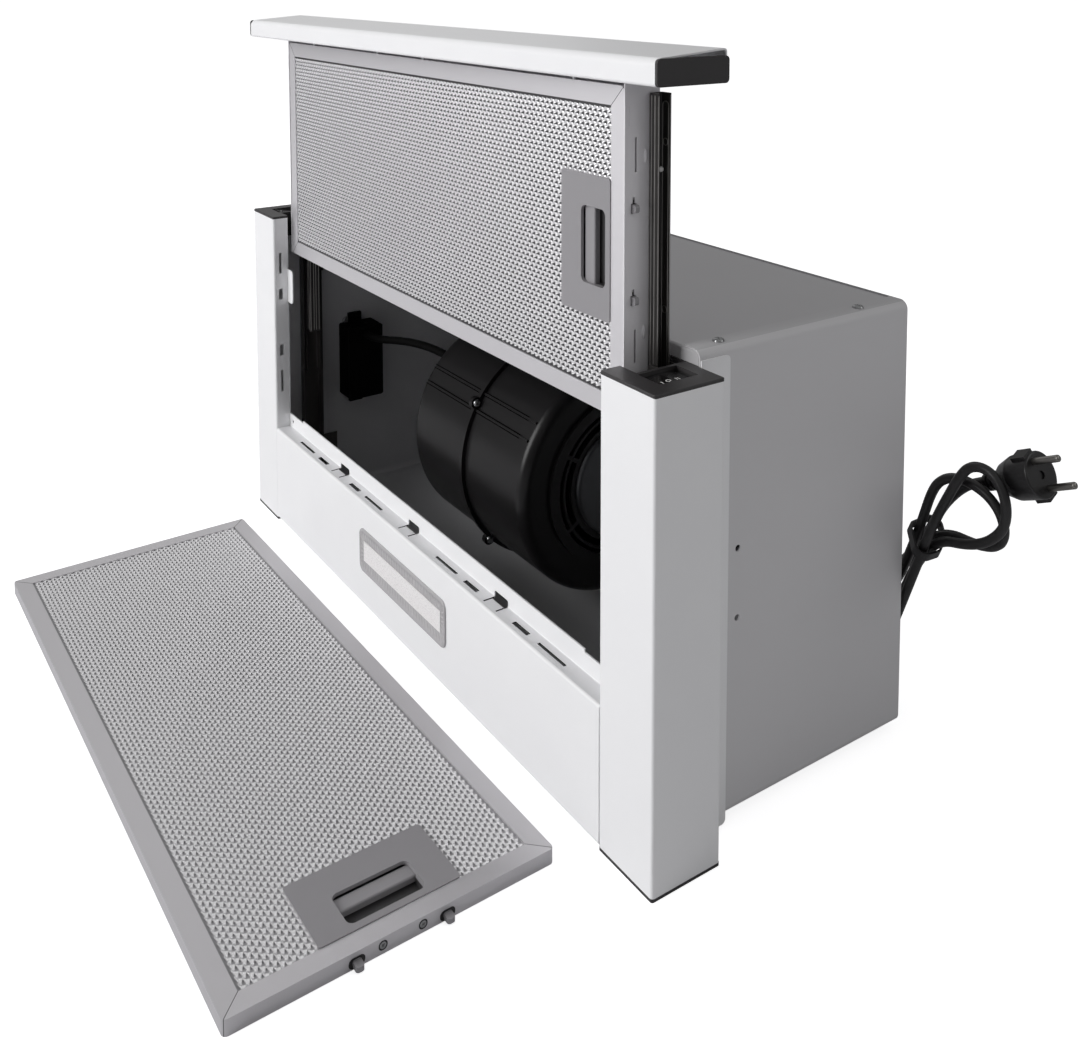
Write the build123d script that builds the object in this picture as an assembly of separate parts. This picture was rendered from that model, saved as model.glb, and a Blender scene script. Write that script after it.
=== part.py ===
from build123d import *
import math
import os

os.makedirs("parts", exist_ok=True)

# A telescopic pull-out cooker hood, standing on its rear edge with the visor drawn up.
# +X is to the right along the front strip, +Y goes from the front panel into the motor box,
# +Z is the way the visor is pulled.  The origin is at the middle of the front lower edge.

# ---- driving dimensions (mm) ----
HOOD_W = 598.0           # over the side channels and the front strip
SHEET = 1.0              # steel sheet of the whole body
BEND_R = 1.5             # bend radius on the sheet's middle line
FIT = 0.3                # clearance between pieces that move past each other

FOOT_T = 2.0             # black end pieces that the hood stands on
CHANNEL_W = 49.0
CHANNEL_D = 50.0
CHANNEL_TOP = 283.0
CHANNEL_RETURN = 14.0    # inner flange beside the filter opening
CAP_T = 2.0

HOUSING_INSET = 22.0     # from the channel's outer side to the motor box's
HOUSING_FRONT = 51.0
HOUSING_BACK = 231.0
HOUSING_BOTTOM = 5.0
HOUSING_TOP = 294.0
HOUSING_BEND = 6.0       # outside radius of the side panels' bends
HOUSING_LAP = 14.0       # side panel's flange over the top and bottom plates
HOUSING_HEM = 8.0        # front flange of the top and bottom plates
TAB_REACH = 22.5         # channel's rear tab along the motor box
TAB_TOP = 288.0
FIX_HOLE_R = 2.0
FIX_HOLE_Y = 82.0
FIX_HOLE_Z = 126.3
FIX_HOLE_PITCH = 42.7
SCREW_R = 3.6
SCREW_H = 1.8

LEDGE_TOP = 87.0
LEDGE_UPSTAND = 14.0     # wall behind the ledge, in line with the channels' flanges
UPSTAND_STEP = 2.0       # the wall is lower at its ends
UPSTAND_STEP_L = 32.0
LAMP_W = 140.0
LAMP_H = 35.0
LAMP_RAISE = 4.0         # above the middle of the front panel
LAMP_RIM = 4.0
LAMP_PROUD = 1.2
LAMP_DEPTH = 12.0
DIFFUSER_W = 125.0
DIFFUSER_H = 16.0

TRAVEL = 163.0           # visor stroke
STRIP_Z = 448.5
STRIP_H = 15.0
STRIP_RISE = 4.0         # the strip's top slopes up towards the back
STRIP_D = 50.5
STRIP_NOSE_R = 4.5
END_CAP_T = 2.0
VISOR_BOTTOM = 250.5
VISOR_PLAY = 0.5         # from the opening's side to the visor's side flange
VISOR_FRONT = 17.5
VISOR_BACK = 44.0

FILTER_PLAY = 0.5
FILTER_H = 194.0
FILTER_T = 9.0
FILTER_FACE = 12.0
FILTER_SHEET = 1.0
FILTER_Y = 18.0
FILTER_Z = 347.5
LOOSE_X = -2.6
LOOSE_Y = -127.1
LOOSE_TURN = 0.75
HANDLE_L = 49.0
HANDLE_H = 84.5
HANDLE_T = 2.0
HANDLE_PROUD = 0.6
POCKET_L = 24.0
POCKET_H = 46.5
POCKET_END = 16.5        # pocket's near wall from the frame's end
POCKET_WALL = 0.7
POCKET_DEPTH = 6.8
POCKET_CORNER_R = 4.0
BAR_W = 10.2
BAR_GAP = 0.5            # from the pocket's inner wall
BAR_T = 3.8
BAR_DEPTH = 1.8
BAR_ROUND = 1.2
ARM_W = 4.8
PIN_T = 3.0
ARM_Z = 26.7
LATCH_PROUD = 5.0
LATCH_TRAVEL = 6.0
FILTER_SCREW_Z = 11.8
SPRING_L = 8.0

SLIDE_Y = 39.5           # middle of the telescopic slides
SLIDE_INNER_W = 9.6
SLIDE_INNER_D = 8.5
SLIDE_MIDDLE_T = 0.8
SLIDE_OUTER_T = 0.9
BALL_D = 1.4
BALL_PLAY = 0.1
SLIDE_INNER_Z = 172.0
SLIDE_INNER_L = 268.0
SLIDE_MIDDLE_L = 150.0
SLIDE_OUTER_Z = 12.0
SLIDE_OUTER_L = 269.0

ROCKER_W = 19.0
ROCKER_L = 28.0
ROCKER_INSET = 21.5      # from the channel's outer side to the rocker's middle
ROCKER_Y = 27.0
ROCKER_TILT = 12.0
ROCKER_PIN_R = 1.5
SWITCH_WALL = 0.8
SWITCH_DEPTH = 13.0

FAN_Y = 137.5
FAN_Z = 130.0
FAN_CASE_R = 87.0
FAN_LEFT = -75.0
FAN_RIGHT = 90.0
FAN_SPLIT = 8.0
FAN_WALL = 2.0
FAN_ROUND = 8.0
OUTLET_ROOM = 1.0        # round the collar
INLET_R = 58.0
IMPELLER_R = 70.0
BLADE_DEPTH = 10.0
BLADES = 28
MOTOR_R = 42.0
SHAFT_R = 4.0
SHAFT_PLAY = 0.05

COLLAR_R = 60.0
COLLAR_L = 35.0
COLLAR_WALL = 1.5
FLAP_T = 1.2
FLAP_PIN_R = 1.5
FLAP_KNUCKLE_R = 2.6

CORD_D = 6.4

# ---- worked out from them ----
HALF_W = HOOD_W / 2
OPENING_X = HALF_W - CHANNEL_W
BOX_X = HALF_W - HOUSING_INSET
VISOR_SIDE_X = OPENING_X - VISOR_PLAY
FILTER_L = 2 * (VISOR_SIDE_X - SHEET - FILTER_PLAY)
ROCKER_X = HALF_W - ROCKER_INSET
LAMP_Z = (LEDGE_TOP + FOOT_T) / 2 + LAMP_RAISE
CAP_TOP = CHANNEL_TOP + CAP_T
VISOR_TOP = STRIP_Z
STRIP_TOP = STRIP_Z + STRIP_H
OUTLET_TOP = FAN_Z + FAN_CASE_R
OUTLET_BOTTOM = OUTLET_TOP - 2 * (COLLAR_R + OUTLET_ROOM)
COLLAR_Z = (OUTLET_BOTTOM + OUTLET_TOP) / 2
COLLAR_X = (FAN_LEFT + FAN_RIGHT) / 2
UPSTAND_Y = CHANNEL_RETURN - SHEET
UPSTAND_TOP = LEDGE_TOP + LEDGE_UPSTAND


def block(x, y, z):
    """A box between two corners, each axis given as a pair."""
    size = (x[1] - x[0], y[1] - y[0], z[1] - z[0])
    return Pos(x[0], y[0], z[0]) * Box(*size, align=(Align.MIN, Align.MIN, Align.MIN))


def rod(start, length, radius, axis="X"):
    """A round bar from its start point along a row axis."""
    turn = {"X": Rot(0, 90, 0), "Y": Rot(-90, 0, 0), "Z": Rot(0, 0, 0)}[axis]
    bar = Cylinder(radius, length, align=(Align.CENTER, Align.CENTER, Align.MIN))
    return Pos(*start) * turn * bar


def folded(points, thickness, length, plane, radius=BEND_R):
    """Sheet bent along a line of points on its middle, and pulled straight off the plane."""
    line = FilletPolyline(*points, radius=radius)
    section = trace(line, line_width=thickness)
    return extrude(plane * section, amount=length)


def across(x):
    """Plane across the hood: drawing x is Y, drawing y is Z, pulled along +X."""
    return Plane(origin=(x, 0, 0), x_dir=(0, 1, 0), z_dir=(1, 0, 0))


def level(z):
    """Level plane: drawing axes are X and Y, pulled up."""
    return Plane.XY.offset(z)


def along(y):
    """Plane facing the box's back: drawing x is X, drawing y is Z, pulled along +Y."""
    return Plane(origin=(0, y, 0), x_dir=(1, 0, 0), z_dir=(0, -1, 0))


def left_of(part):
    return part.mirror(Plane.YZ)


def both(part):
    return [part, left_of(part)]


def save(name, *pieces):
    solids = []
    for piece in pieces:
        solids += piece.solids() if hasattr(piece, "solids") else [piece]
    export_step(Compound(children=solids) if len(solids) > 1 else solids[0], f"parts/{name}.step")
    return solids


# ---- side channels, their caps and feet ----
def channel():
    """Front channel: inner flange, front, outer side, back and the tab along the motor box."""
    half = SHEET / 2
    line = [
        (OPENING_X + half, CHANNEL_RETURN),
        (OPENING_X + half, half),
        (HALF_W - half, half),
        (HALF_W - half, CHANNEL_D - half),
        (BOX_X + half, CHANNEL_D - half),
        (BOX_X + half, HOUSING_FRONT + TAB_REACH),
    ]
    part = folded(line, SHEET, TAB_TOP - FOOT_T, level(FOOT_T))
    part -= block((0, HALF_W), (-1, HOUSING_FRONT + FIT), (CHANNEL_TOP, TAB_TOP + 1))
    tab_edges = part.edges().filter_by(Axis.X).group_by(Axis.Y)[-1]
    part = fillet(tab_edges, 3.0)
    for low, high, width in CHANNEL_HOLES:
        wall = (OPENING_X - 1, OPENING_X + SHEET + 1)
        part -= block(wall, (HOLE_Y - width / 2, HOLE_Y + width / 2), (low, high))
    ear_x = (OPENING_X - EAR_W, OPENING_X + SHEET)
    ear = block(ear_x, (CHANNEL_RETURN - SHEET, CHANNEL_RETURN), EAR_Z)
    return part + fillet(ear.edges().filter_by(Axis.Y).group_by(Axis.X)[0], 4.0)


HOLE_Y = 6.4
CHANNEL_HOLES = [(121, 141, 2.4), (155, 165, 3.6), (207.5, 217.5, 3.6), (232, 251, 2.4)]
EAR_W = 12.0             # ear bent in front of the visor
EAR_Z = (204.5, 235.0)


def cap():
    """Moulded cap with a recess for the rocker and a notch for the slide."""
    part = block((OPENING_X, HALF_W), (0, CHANNEL_D), (CHANNEL_TOP, CAP_TOP))
    part = fillet(part.edges().filter_by(Axis.Z), 1.5)
    part = fillet(part.faces().sort_by(Axis.Z)[-1].edges(), 0.6)
    slide_way = (OPENING_X - 1, SLIDE_WEB_OUT + 1)
    part -= block(slide_way, (CHANNEL_RETURN, CHANNEL_D - SHEET), (CHANNEL_TOP - 1, CAP_TOP + 1))
    part -= rocker_hole((CHANNEL_TOP - 1, CAP_TOP + 1))
    return part


def rocker_hole(z):
    x = (ROCKER_X - ROCKER_W / 2, ROCKER_X + ROCKER_W / 2)
    y = (ROCKER_Y - ROCKER_L / 2, ROCKER_Y + ROCKER_L / 2)
    return block(x, y, z)


def foot():
    part = block((OPENING_X, HALF_W), (0, CHANNEL_D), (0, FOOT_T))
    part = fillet(part.edges().filter_by(Axis.Z), 1.5)
    inset = SHEET + BEND_R
    plug_x = (OPENING_X + inset, HALF_W - inset)
    return part + block(plug_x, (inset, CHANNEL_D - inset), (FOOT_T, FOOT_T + 4))


# Places of the telescopic slide's three members, from the visor's side outwards
INNER_WEB = VISOR_SIDE_X
INNER_HALF = SLIDE_INNER_W / 2
MIDDLE_HALF = INNER_HALF + BALL_D + SLIDE_MIDDLE_T
OUTER_HALF = MIDDLE_HALF + BALL_D + SLIDE_OUTER_T
MIDDLE_WEB_OUT = INNER_WEB + SLIDE_INNER_D + 4.0
SLIDE_WEB_OUT = MIDDLE_WEB_OUT + 2.5
MIDDLE_TOP = CHANNEL_TOP


def rail(web_x, mouth_x, half, thickness, z, length):
    """A C-shaped slide member; the web is at one side and the mouth at the other."""
    inset = thickness / 2
    web = web_x + (inset if mouth_x > web_x else -inset)
    line = [
        (mouth_x, SLIDE_Y - half + inset),
        (web, SLIDE_Y - half + inset),
        (web, SLIDE_Y + half - inset),
        (mouth_x, SLIDE_Y + half - inset),
    ]
    return folded(line, thickness, length, level(z), radius=thickness)


def slide_inner():
    """Slide member on the visor, with a rivet and a washer on its web."""
    mouth = INNER_WEB + SLIDE_INNER_D
    part = rail(INNER_WEB, mouth, INNER_HALF, SHEET, SLIDE_INNER_Z, SLIDE_INNER_L)
    rivet = rod((INNER_WEB + SHEET, SLIDE_Y + RIVET_SHIFT, RIVET_Z), 2.5, 1.5)
    washer = rod((INNER_WEB + SHEET, SLIDE_Y + RIVET_SHIFT, WASHER_Z), 0.6, 2.0)
    return part + rivet + washer


RIVET_SHIFT = 1.6
RIVET_Z = 395.7
WASHER_Z = 317.8


def slide_middle():
    mouth = INNER_WEB + 4.0
    z = MIDDLE_TOP - SLIDE_MIDDLE_L
    return rail(MIDDLE_WEB_OUT, mouth, MIDDLE_HALF, SLIDE_MIDDLE_T, z, SLIDE_MIDDLE_L)


def slide_outer():
    mouth = INNER_WEB + 5.5
    part = rail(SLIDE_WEB_OUT, mouth, OUTER_HALF, SLIDE_OUTER_T, SLIDE_OUTER_Z, SLIDE_OUTER_L)
    return part


def slide_balls():
    """Bearing balls in the four races of one slide."""
    inner_race = INNER_HALF + BALL_D / 2
    outer_race = MIDDLE_HALF + BALL_D / 2
    inner_x = INNER_WEB + SLIDE_INNER_D - 2.0
    outer_x = INNER_WEB + SLIDE_INNER_D + 1.0
    balls = []
    for share in (0.35, 0.85):
        z = MIDDLE_TOP - SLIDE_MIDDLE_L * (1 - share)
        for x, race in ((inner_x, inner_race), (outer_x, outer_race)):
            for side in (-1, 1):
                ball = Sphere(BALL_D / 2 - BALL_PLAY)
                balls.append(Pos(x, SLIDE_Y + side * race, z) * ball)
    return balls


def carrier(z):
    """Angled bracket from the slide's back to the inside of the motor box."""
    half = SHEET / 2
    line = [
        (SLIDE_WEB_OUT + half, SLIDE_Y - OUTER_HALF + 1),
        (SLIDE_WEB_OUT + half, HOUSING_FRONT + 4),
        (BOX_X - SHEET - half, HOUSING_FRONT + 4),
        (BOX_X - SHEET - half, HOUSING_FRONT + 20),
    ]
    return folded(line, SHEET, CARRIER_H, level(z))


CARRIER_H = 30.0
CARRIER_Z = (30.0, 225.0)


# ---- front panel and lamp ----
def light_panel():
    """Folded panel: rear lip, lower flange, front face and the ledge under the filter."""
    half = SHEET / 2
    line = [
        (HOUSING_FRONT - half, FOOT_T + 12),
        (HOUSING_FRONT - half, FOOT_T + half),
        (half, FOOT_T + half),
        (half, LEDGE_TOP - half),
        (UPSTAND_Y + half, LEDGE_TOP - half),
        (UPSTAND_Y + half, UPSTAND_TOP),
    ]
    part = folded(line, SHEET, 2 * OPENING_X, across(-OPENING_X))
    for side in (-1, 1):
        x = sorted((side * (OPENING_X - UPSTAND_STEP_L), side * (OPENING_X + 1)))
        low = UPSTAND_TOP - UPSTAND_STEP
        part -= block(x, (UPSTAND_Y - 1, UPSTAND_Y + SHEET + 1), (low, UPSTAND_TOP + 1))
        part -= rod((side * (OPENING_X - 8), UPSTAND_Y - 1, LEDGE_TOP + 6), 4, 1.5, "Y")
        for low, high, width in LEDGE_SLOTS:
            x = sorted((side * low, side * high))
            y = (SLOT_MIDDLE_Y - width / 2, SLOT_MIDDLE_Y + width / 2)
            part -= block(x, y, (LEDGE_TOP - 2, LEDGE_TOP + 1))
    for centre in HOOK_CUTS:
        part -= hook_cut(centre)
    part -= lamp_hole((-1, SHEET + 1))
    return part


SLOT_MIDDLE_Y = 6.6
LEDGE_SLOTS = [(44.5, 74.0, 2.2), (85.5, 102.5, 3.3), (148.5, 166.0, 3.3), (177.5, 207.0, 2.2)]
HOOK_CUTS = (-127.0, -2.5, 123.0)
HOOK_W = 17.0
HOOK_SLIT = 1.4
HOOK_FRONT = 3.8
HOOK_WINDOW = 4.5        # height of the cut in the wall behind the ledge


def hook_cut(x):
    """Slit round three sides of a spring tongue, open through the bend into the wall behind."""
    z = (LEDGE_TOP - 2, LEDGE_TOP + 1)
    side_y = (HOOK_FRONT, UPSTAND_Y)
    left = block((x - HOOK_W / 2, x - HOOK_W / 2 + HOOK_SLIT), side_y, z)
    right = block((x + HOOK_W / 2 - HOOK_SLIT, x + HOOK_W / 2), side_y, z)
    window_y = (UPSTAND_Y - 2 * HOOK_SLIT, UPSTAND_Y + SHEET + 1)
    window_z = (LEDGE_TOP - 2, LEDGE_TOP + HOOK_WINDOW)
    window = block((x - HOOK_W / 2, x + HOOK_W / 2), window_y, window_z)
    window = fillet(window.edges().filter_by(Axis.Y).group_by(Axis.Z)[-1], 1.5)
    return left + right + window


def lamp_hole(y, gap=0.0):
    """Rounded prism of the lamp's body, smaller than its rim all round."""
    shape = RectangleRounded(LAMP_W - 2 * LAMP_RIM - 2 * gap, LAMP_H - 2 * LAMP_RIM - 2 * gap, 4)
    return extrude(along(y[0]) * Pos(0, LAMP_Z) * shape, amount=-(y[1] - y[0]))


def lamp_bezel():
    """Rim in front of the panel and a skirt through it."""
    rim = RectangleRounded(LAMP_W, LAMP_H, 5)
    part = extrude(along(-LAMP_PROUD) * Pos(0, LAMP_Z) * rim, amount=-LAMP_PROUD)
    part += lamp_hole((0, LAMP_DEPTH), FIT / 2)
    part -= lamp_hole((SHEET, LAMP_DEPTH + 1), FIT / 2 + 1.5)
    window = Rectangle(DIFFUSER_W, DIFFUSER_H)
    part -= extrude(along(-LAMP_PROUD - 1) * Pos(0, LAMP_Z) * window, amount=-5)
    return part


def lamp_diffuser():
    """Lens that fills the bezel's window, with a flange behind it."""
    window = Rectangle(DIFFUSER_W, DIFFUSER_H)
    lens = extrude(along(-LAMP_PROUD + 0.4) * Pos(0, LAMP_Z) * window, amount=-(LAMP_PROUD + SHEET))
    flange = Rectangle(DIFFUSER_W + 3, DIFFUSER_H + 3)
    return lens + extrude(along(SHEET) * Pos(0, LAMP_Z) * flange, amount=-1.5)


def lamp_board():
    """Light module that closes the back of the lamp."""
    shape = RectangleRounded(LAMP_W - 2 * LAMP_RIM - FIT - 3, LAMP_H - 2 * LAMP_RIM - FIT - 3, 4)
    board = extrude(along(LAMP_DEPTH - 3) * Pos(0, LAMP_Z) * shape, amount=-3)
    for step in range(-3, 4):
        board += block((step * 16 - 2.5, step * 16 + 2.5), (LAMP_DEPTH - 4.5, LAMP_DEPTH - 3), (46, 51))
    return board


# ---- motor box ----
def housing_side():
    half = SHEET / 2
    line = [
        (BOX_X - HOUSING_LAP, HOUSING_BOTTOM + half),
        (BOX_X - half, HOUSING_BOTTOM + half),
        (BOX_X - half, HOUSING_TOP - half),
        (BOX_X - HOUSING_LAP, HOUSING_TOP - half),
    ]
    depth = HOUSING_BACK - SHEET - HOUSING_FRONT
    part = folded(line, SHEET, -depth, along(HOUSING_FRONT), radius=HOUSING_BEND - half)
    for step in range(2):
        z = FIX_HOLE_Z + step * FIX_HOLE_PITCH
        part -= rod((BOX_X - 3, FIX_HOLE_Y, z), 6, FIX_HOLE_R)
    return part


def housing_plate(z, hem):
    """Top or bottom plate: a flat sheet with its front edge folded by the hem."""
    half = SHEET / 2
    flat = z + half
    line = [
        (HOUSING_BACK - SHEET, flat),
        (HOUSING_FRONT + half, flat),
        (HOUSING_FRONT + half, flat + hem),
    ]
    half_w = BOX_X - HOUSING_BEND
    plate = folded(line, SHEET, 2 * half_w, across(-half_w))
    inside = BOX_X - SHEET - FIT
    low, high = sorted((z + half + hem, z if hem > 0 else z + SHEET))
    ends = Pos(0, (low + high) / 2) * Rectangle(2 * inside, high - low)
    corners = ends.vertices().group_by(Axis.Y)[0 if hem > 0 else -1]
    ends = extrude(along(HOUSING_FRONT) * fillet(corners, inside - half_w), amount=-SHEET)
    ends -= block((-half_w, half_w), (HOUSING_FRONT - 1, HOUSING_FRONT + SHEET + 1), (low - 1, high + 1))
    return plate + ends


def housing_back():
    w = 2 * BOX_X
    h = HOUSING_TOP - HOUSING_BOTTOM
    shape = Pos(0, HOUSING_BOTTOM + h / 2) * RectangleRounded(w, h, HOUSING_BEND)
    shape -= Pos(COLLAR_X, COLLAR_Z) * Circle(COLLAR_R - COLLAR_WALL)
    return extrude(along(HOUSING_BACK - SHEET) * shape, amount=-SHEET)


def dome_screw(x, y, z):
    """Low domed head on the top plate."""
    head = Cylinder(SCREW_R, SCREW_H, align=(Align.CENTER, Align.CENTER, Align.MIN))
    head = fillet(head.edges().group_by(Axis.Z)[-1], SCREW_H * 0.6)
    return Pos(x, y, z) * head


# ---- fan ----
def scroll(x, shrink, reach):
    """The fan casing's outline: a drum with a straight outlet towards the back."""
    drum = Pos(FAN_Y, FAN_Z) * Circle(FAN_CASE_R - shrink)
    low = OUTLET_BOTTOM + shrink
    high = OUTLET_TOP - shrink
    duct = Pos((FAN_Y + reach) / 2, (low + high) / 2) * Rectangle(reach - FAN_Y, high - low)
    return extrude(across(x[0]) * (drum + duct), amount=x[1] - x[0])


def case_half(outside, inside):
    """One half of the scroll, open at the split, with an inlet in its end wall."""
    back = HOUSING_BACK - SHEET
    x = sorted((outside, inside))
    shell = scroll(x, 0, back)
    end = shell.faces().filter_by(Axis.X).sort_by(Axis.X)[0 if outside < inside else -1]
    arcs = [e for e in end.edges() if e.center().Y < back - 1]
    shell = fillet(arcs, FAN_ROUND)
    wall = FAN_WALL if outside < inside else -FAN_WALL
    x_in = sorted((outside + wall, inside))
    hollow = scroll(x_in, FAN_WALL, back)
    end = hollow.faces().filter_by(Axis.X).sort_by(Axis.X)[0 if outside < inside else -1]
    arcs = [e for e in end.edges() if e.center().Y < back - 1]
    hollow = fillet(arcs, FAN_ROUND - FAN_WALL)
    shell -= hollow
    shell -= rod((min(outside, outside + wall) - 1, FAN_Y, FAN_Z), FAN_WALL + 2, INLET_R)
    flange_x = (inside, inside + (2 if outside > inside else -2))
    shell += split_flange(flange_x)
    rounded_end = FAN_ROUND if outside < inside else -FAN_ROUND
    for angle in RIB_ANGLES:
        shell += case_rib(*sorted((outside + rounded_end, inside)), angle)
    return shell


def case_rib(start, end, angle):
    """Low rib along the drum, the angle measured up from the casing's front."""
    rib = block((start, end), (-FAN_CASE_R - RIB_H, -FAN_CASE_R + 1), (-0.8, 0.8))
    return Pos(0, FAN_Y, FAN_Z) * Rot(-angle, 0, 0) * rib


FLANGE_H = 3.0
BOSS_ANGLES = (32.5, -44.0)
RIB_ANGLES = (29.2, 38.3)
RIB_H = 1.2
BOSS_R = 4.5
FAN_SCREW_R = 1.6
FAN_HEAD_R = 3.0


def split_flange(x):
    """Raised rim and screw bosses where the two halves of the casing meet."""
    x0, x1 = sorted(x)
    ring = Pos(FAN_Y, FAN_Z) * (Circle(FAN_CASE_R + FLANGE_H) - Circle(FAN_CASE_R - 0.5))
    reach = FAN_CASE_R + FLANGE_H
    keep = Pos(FAN_Y - reach / 2, FAN_Z) * Rectangle(reach, 2 * reach)
    rim = extrude(across(x0) * (ring & keep), amount=x1 - x0)
    for angle in BOSS_ANGLES:
        y, z = boss_place(angle)
        lug = rod((x0, y, z), x1 - x0, BOSS_R)
        lug -= rod((x0 - 1, FAN_Y, FAN_Z), x1 - x0 + 2, FAN_CASE_R - 0.5)
        rim += lug
        rim -= rod((x0 - 1, y, z), x1 - x0 + 2, FAN_SCREW_R)
    return rim


def boss_place(angle):
    """Centre of a boss, the angle measured up from the casing's front."""
    reach = FAN_CASE_R + FAN_HEAD_R + FIT
    a = math.radians(angle)
    return FAN_Y - reach * math.cos(a), FAN_Z + reach * math.sin(a)


def fan_screw(angle):
    """Screw through both bosses, its head on the right."""
    y, z = boss_place(angle)
    shank = rod((FAN_SPLIT - 2, y, z), 4, FAN_SCREW_R)
    return shank + rod((FAN_SPLIT + 2, y, z), 2.2, FAN_HEAD_R)


def impeller():
    """Double-inlet drum: hub disc in the middle, forward-curved blades, and three rims."""
    reach_left = FAN_LEFT + FAN_WALL + 8
    reach_right = FAN_RIGHT - FAN_WALL - 8
    length = reach_right - reach_left
    inner = IMPELLER_R - BLADE_DEPTH
    rim = Circle(IMPELLER_R) - Circle(inner)
    thin = Pos(FAN_Y, FAN_Z)
    part = extrude(across(FAN_SPLIT - 1) * thin * Circle(IMPELLER_R), amount=2)
    for x in (reach_left, reach_right - 2):
        part += extrude(across(x) * thin * rim, amount=2)
    blades = Sketch()
    for k in range(BLADES):
        blade = ThreePointArc((inner + 0.3, 0), (inner + 5.2, 1.6), (IMPELLER_R - 0.3, 6.0))
        blades += Rot(0, 0, k * 360 / BLADES) * trace(blade, line_width=1.2)
    part += extrude(across(reach_left) * thin * blades, amount=length)
    part += rod((FAN_SPLIT - 10, FAN_Y, FAN_Z), 20, SHAFT_R * 2.5)
    part -= rod((FAN_SPLIT - 20, FAN_Y, FAN_Z), 40, SHAFT_R)
    return part


MOTOR_FRONT = 22.0
MOTOR_BACK = 96.0


def motor():
    """Motor can with a rounded front bell; its shaft runs in a bore."""
    can = rod((MOTOR_FRONT, FAN_Y, FAN_Z), MOTOR_BACK - MOTOR_FRONT, MOTOR_R)
    can = fillet(can.edges().group_by(Axis.X)[0], 8)
    can = fillet(can.edges().group_by(Axis.X)[-1], 3)
    bore = rod((MOTOR_FRONT - 1, FAN_Y, FAN_Z), MOTOR_BACK - MOTOR_FRONT - 3, SHAFT_R + SHAFT_PLAY)
    return can - bore


def shaft():
    """Shaft from the motor's closed end through the impeller's hub."""
    start = FAN_SPLIT - 14
    return rod((start, FAN_Y, FAN_Z), MOTOR_BACK - 5 - start, SHAFT_R)


def grille():
    """Guard of the right inlet: outer ring, inner ring on the motor, one ring between, spokes."""
    x = FAN_RIGHT
    thick = 3.0
    rings = Circle(INLET_R + 6) - Circle(INLET_R - 2)
    rings += Circle(INLET_R - 5) - Circle(INLET_R - 7)
    rings += Circle(MOTOR_R + 4) - Circle(MOTOR_R)
    for k in range(6):
        spoke = Pos((MOTOR_R + INLET_R) / 2, 0) * Rectangle(INLET_R - MOTOR_R - 1, 3)
        rings += Rot(0, 0, 30 + k * 60) * spoke
    return extrude(across(x) * Pos(FAN_Y, FAN_Z) * rings, amount=thick)


def capacitor():
    """Run capacitor with its stud end on the floor of the motor box."""
    base = HOUSING_BOTTOM + 2 * SHEET
    can = rod((*CAPACITOR_AT, base), CAPACITOR_H, CAPACITOR_R, "Z")
    can = fillet(can.edges().group_by(Axis.Z)[-1], 2.5)
    return can + rod((*CAPACITOR_AT, base + CAPACITOR_H), 3, 4, "Z")


CAPACITOR_AT = (150.0, 175.0)
CAPACITOR_R = 14.0
CAPACITOR_H = 62.0


# ---- wiring box ----
CONTROL_D = 24.0
CONTROL_X = (-BOX_X + SHEET, -BOX_X + SHEET + CONTROL_D)
CONTROL_Y = (75.0, 110.0)
CONTROL_Z = (97.0, 167.0)


def control_box():
    """Junction box on the left wall, with a lid line and two screw ears."""
    part = block(CONTROL_X, CONTROL_Y, CONTROL_Z)
    part = fillet(part.edges().filter_by(Axis.X), 2)
    lid_x = CONTROL_X[1] - 6
    groove = block((lid_x, lid_x + 1), (60, 120), (80, 180))
    groove -= block((lid_x - 1, lid_x + 2), (75.8, 109.2), (97.8, 166.2))
    part -= groove
    for z in (CONTROL_Z[0] - 9, CONTROL_Z[1]):
        ear = block((CONTROL_X[0], CONTROL_X[0] + 4), (84, 97), (z, z + 9))
        part += ear
        part += rod((CONTROL_X[0] + 4, 90.5, z + 4.5), 1.6, 3.2)
    return part


# Loom from the junction box to the fan, and the lead's inner end behind the fan
LOOM_D = 7.0
LOOM_BOX = [
    (CONTROL_X[1], 92, 160), (-238, 92, 160), (-218, 93, 162.5), (-192, 96, 168),
    (-164, 98, 173), (-138, 99, 176), (-114, 99, 177.5), (-94, 99, 177), (FAN_LEFT, 99, 177),
]
LOOM_FLOOR = [
    (FAN_LEFT, 196, 118), (-92, 196, 118), (-110, 197.5, 112.4), (-122.5, 200.5, 99),
    (-128.5, 205, 81), (-130.5, 210, 61), (-129, 214, 41), (-121, 217, 24), (-105, 219, 14),
    (-84, 220.5, 11.3), (-58, 221, 11.4), (-30, 220.6, 11.3), (-2, 221, 11.4), (24, 220.8, 11.5),
    (50, 221, 14), (72, 221, 22), (92, 221.2, 36), (110, 221, 53), (127, 221.3, 70),
    (143, 221.2, 85), (157, 220.8, 98), (167.5, 220.5, 107.5), (174, 221.6, 112.6),
    (176, 225.4, 114), (176, HOUSING_BACK - SHEET, 114),
]


def loom(points):
    """Sheathed cable along a list of points."""
    arcs = [corner_radius(*points[k - 1:k + 2]) for k in range(1, len(points) - 1)]
    line = FilletPolyline(*points, radius=arcs)
    start = Plane(origin=line @ 0, z_dir=line % 0)
    return sweep(start * Circle(LOOM_D / 2), path=line)


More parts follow.
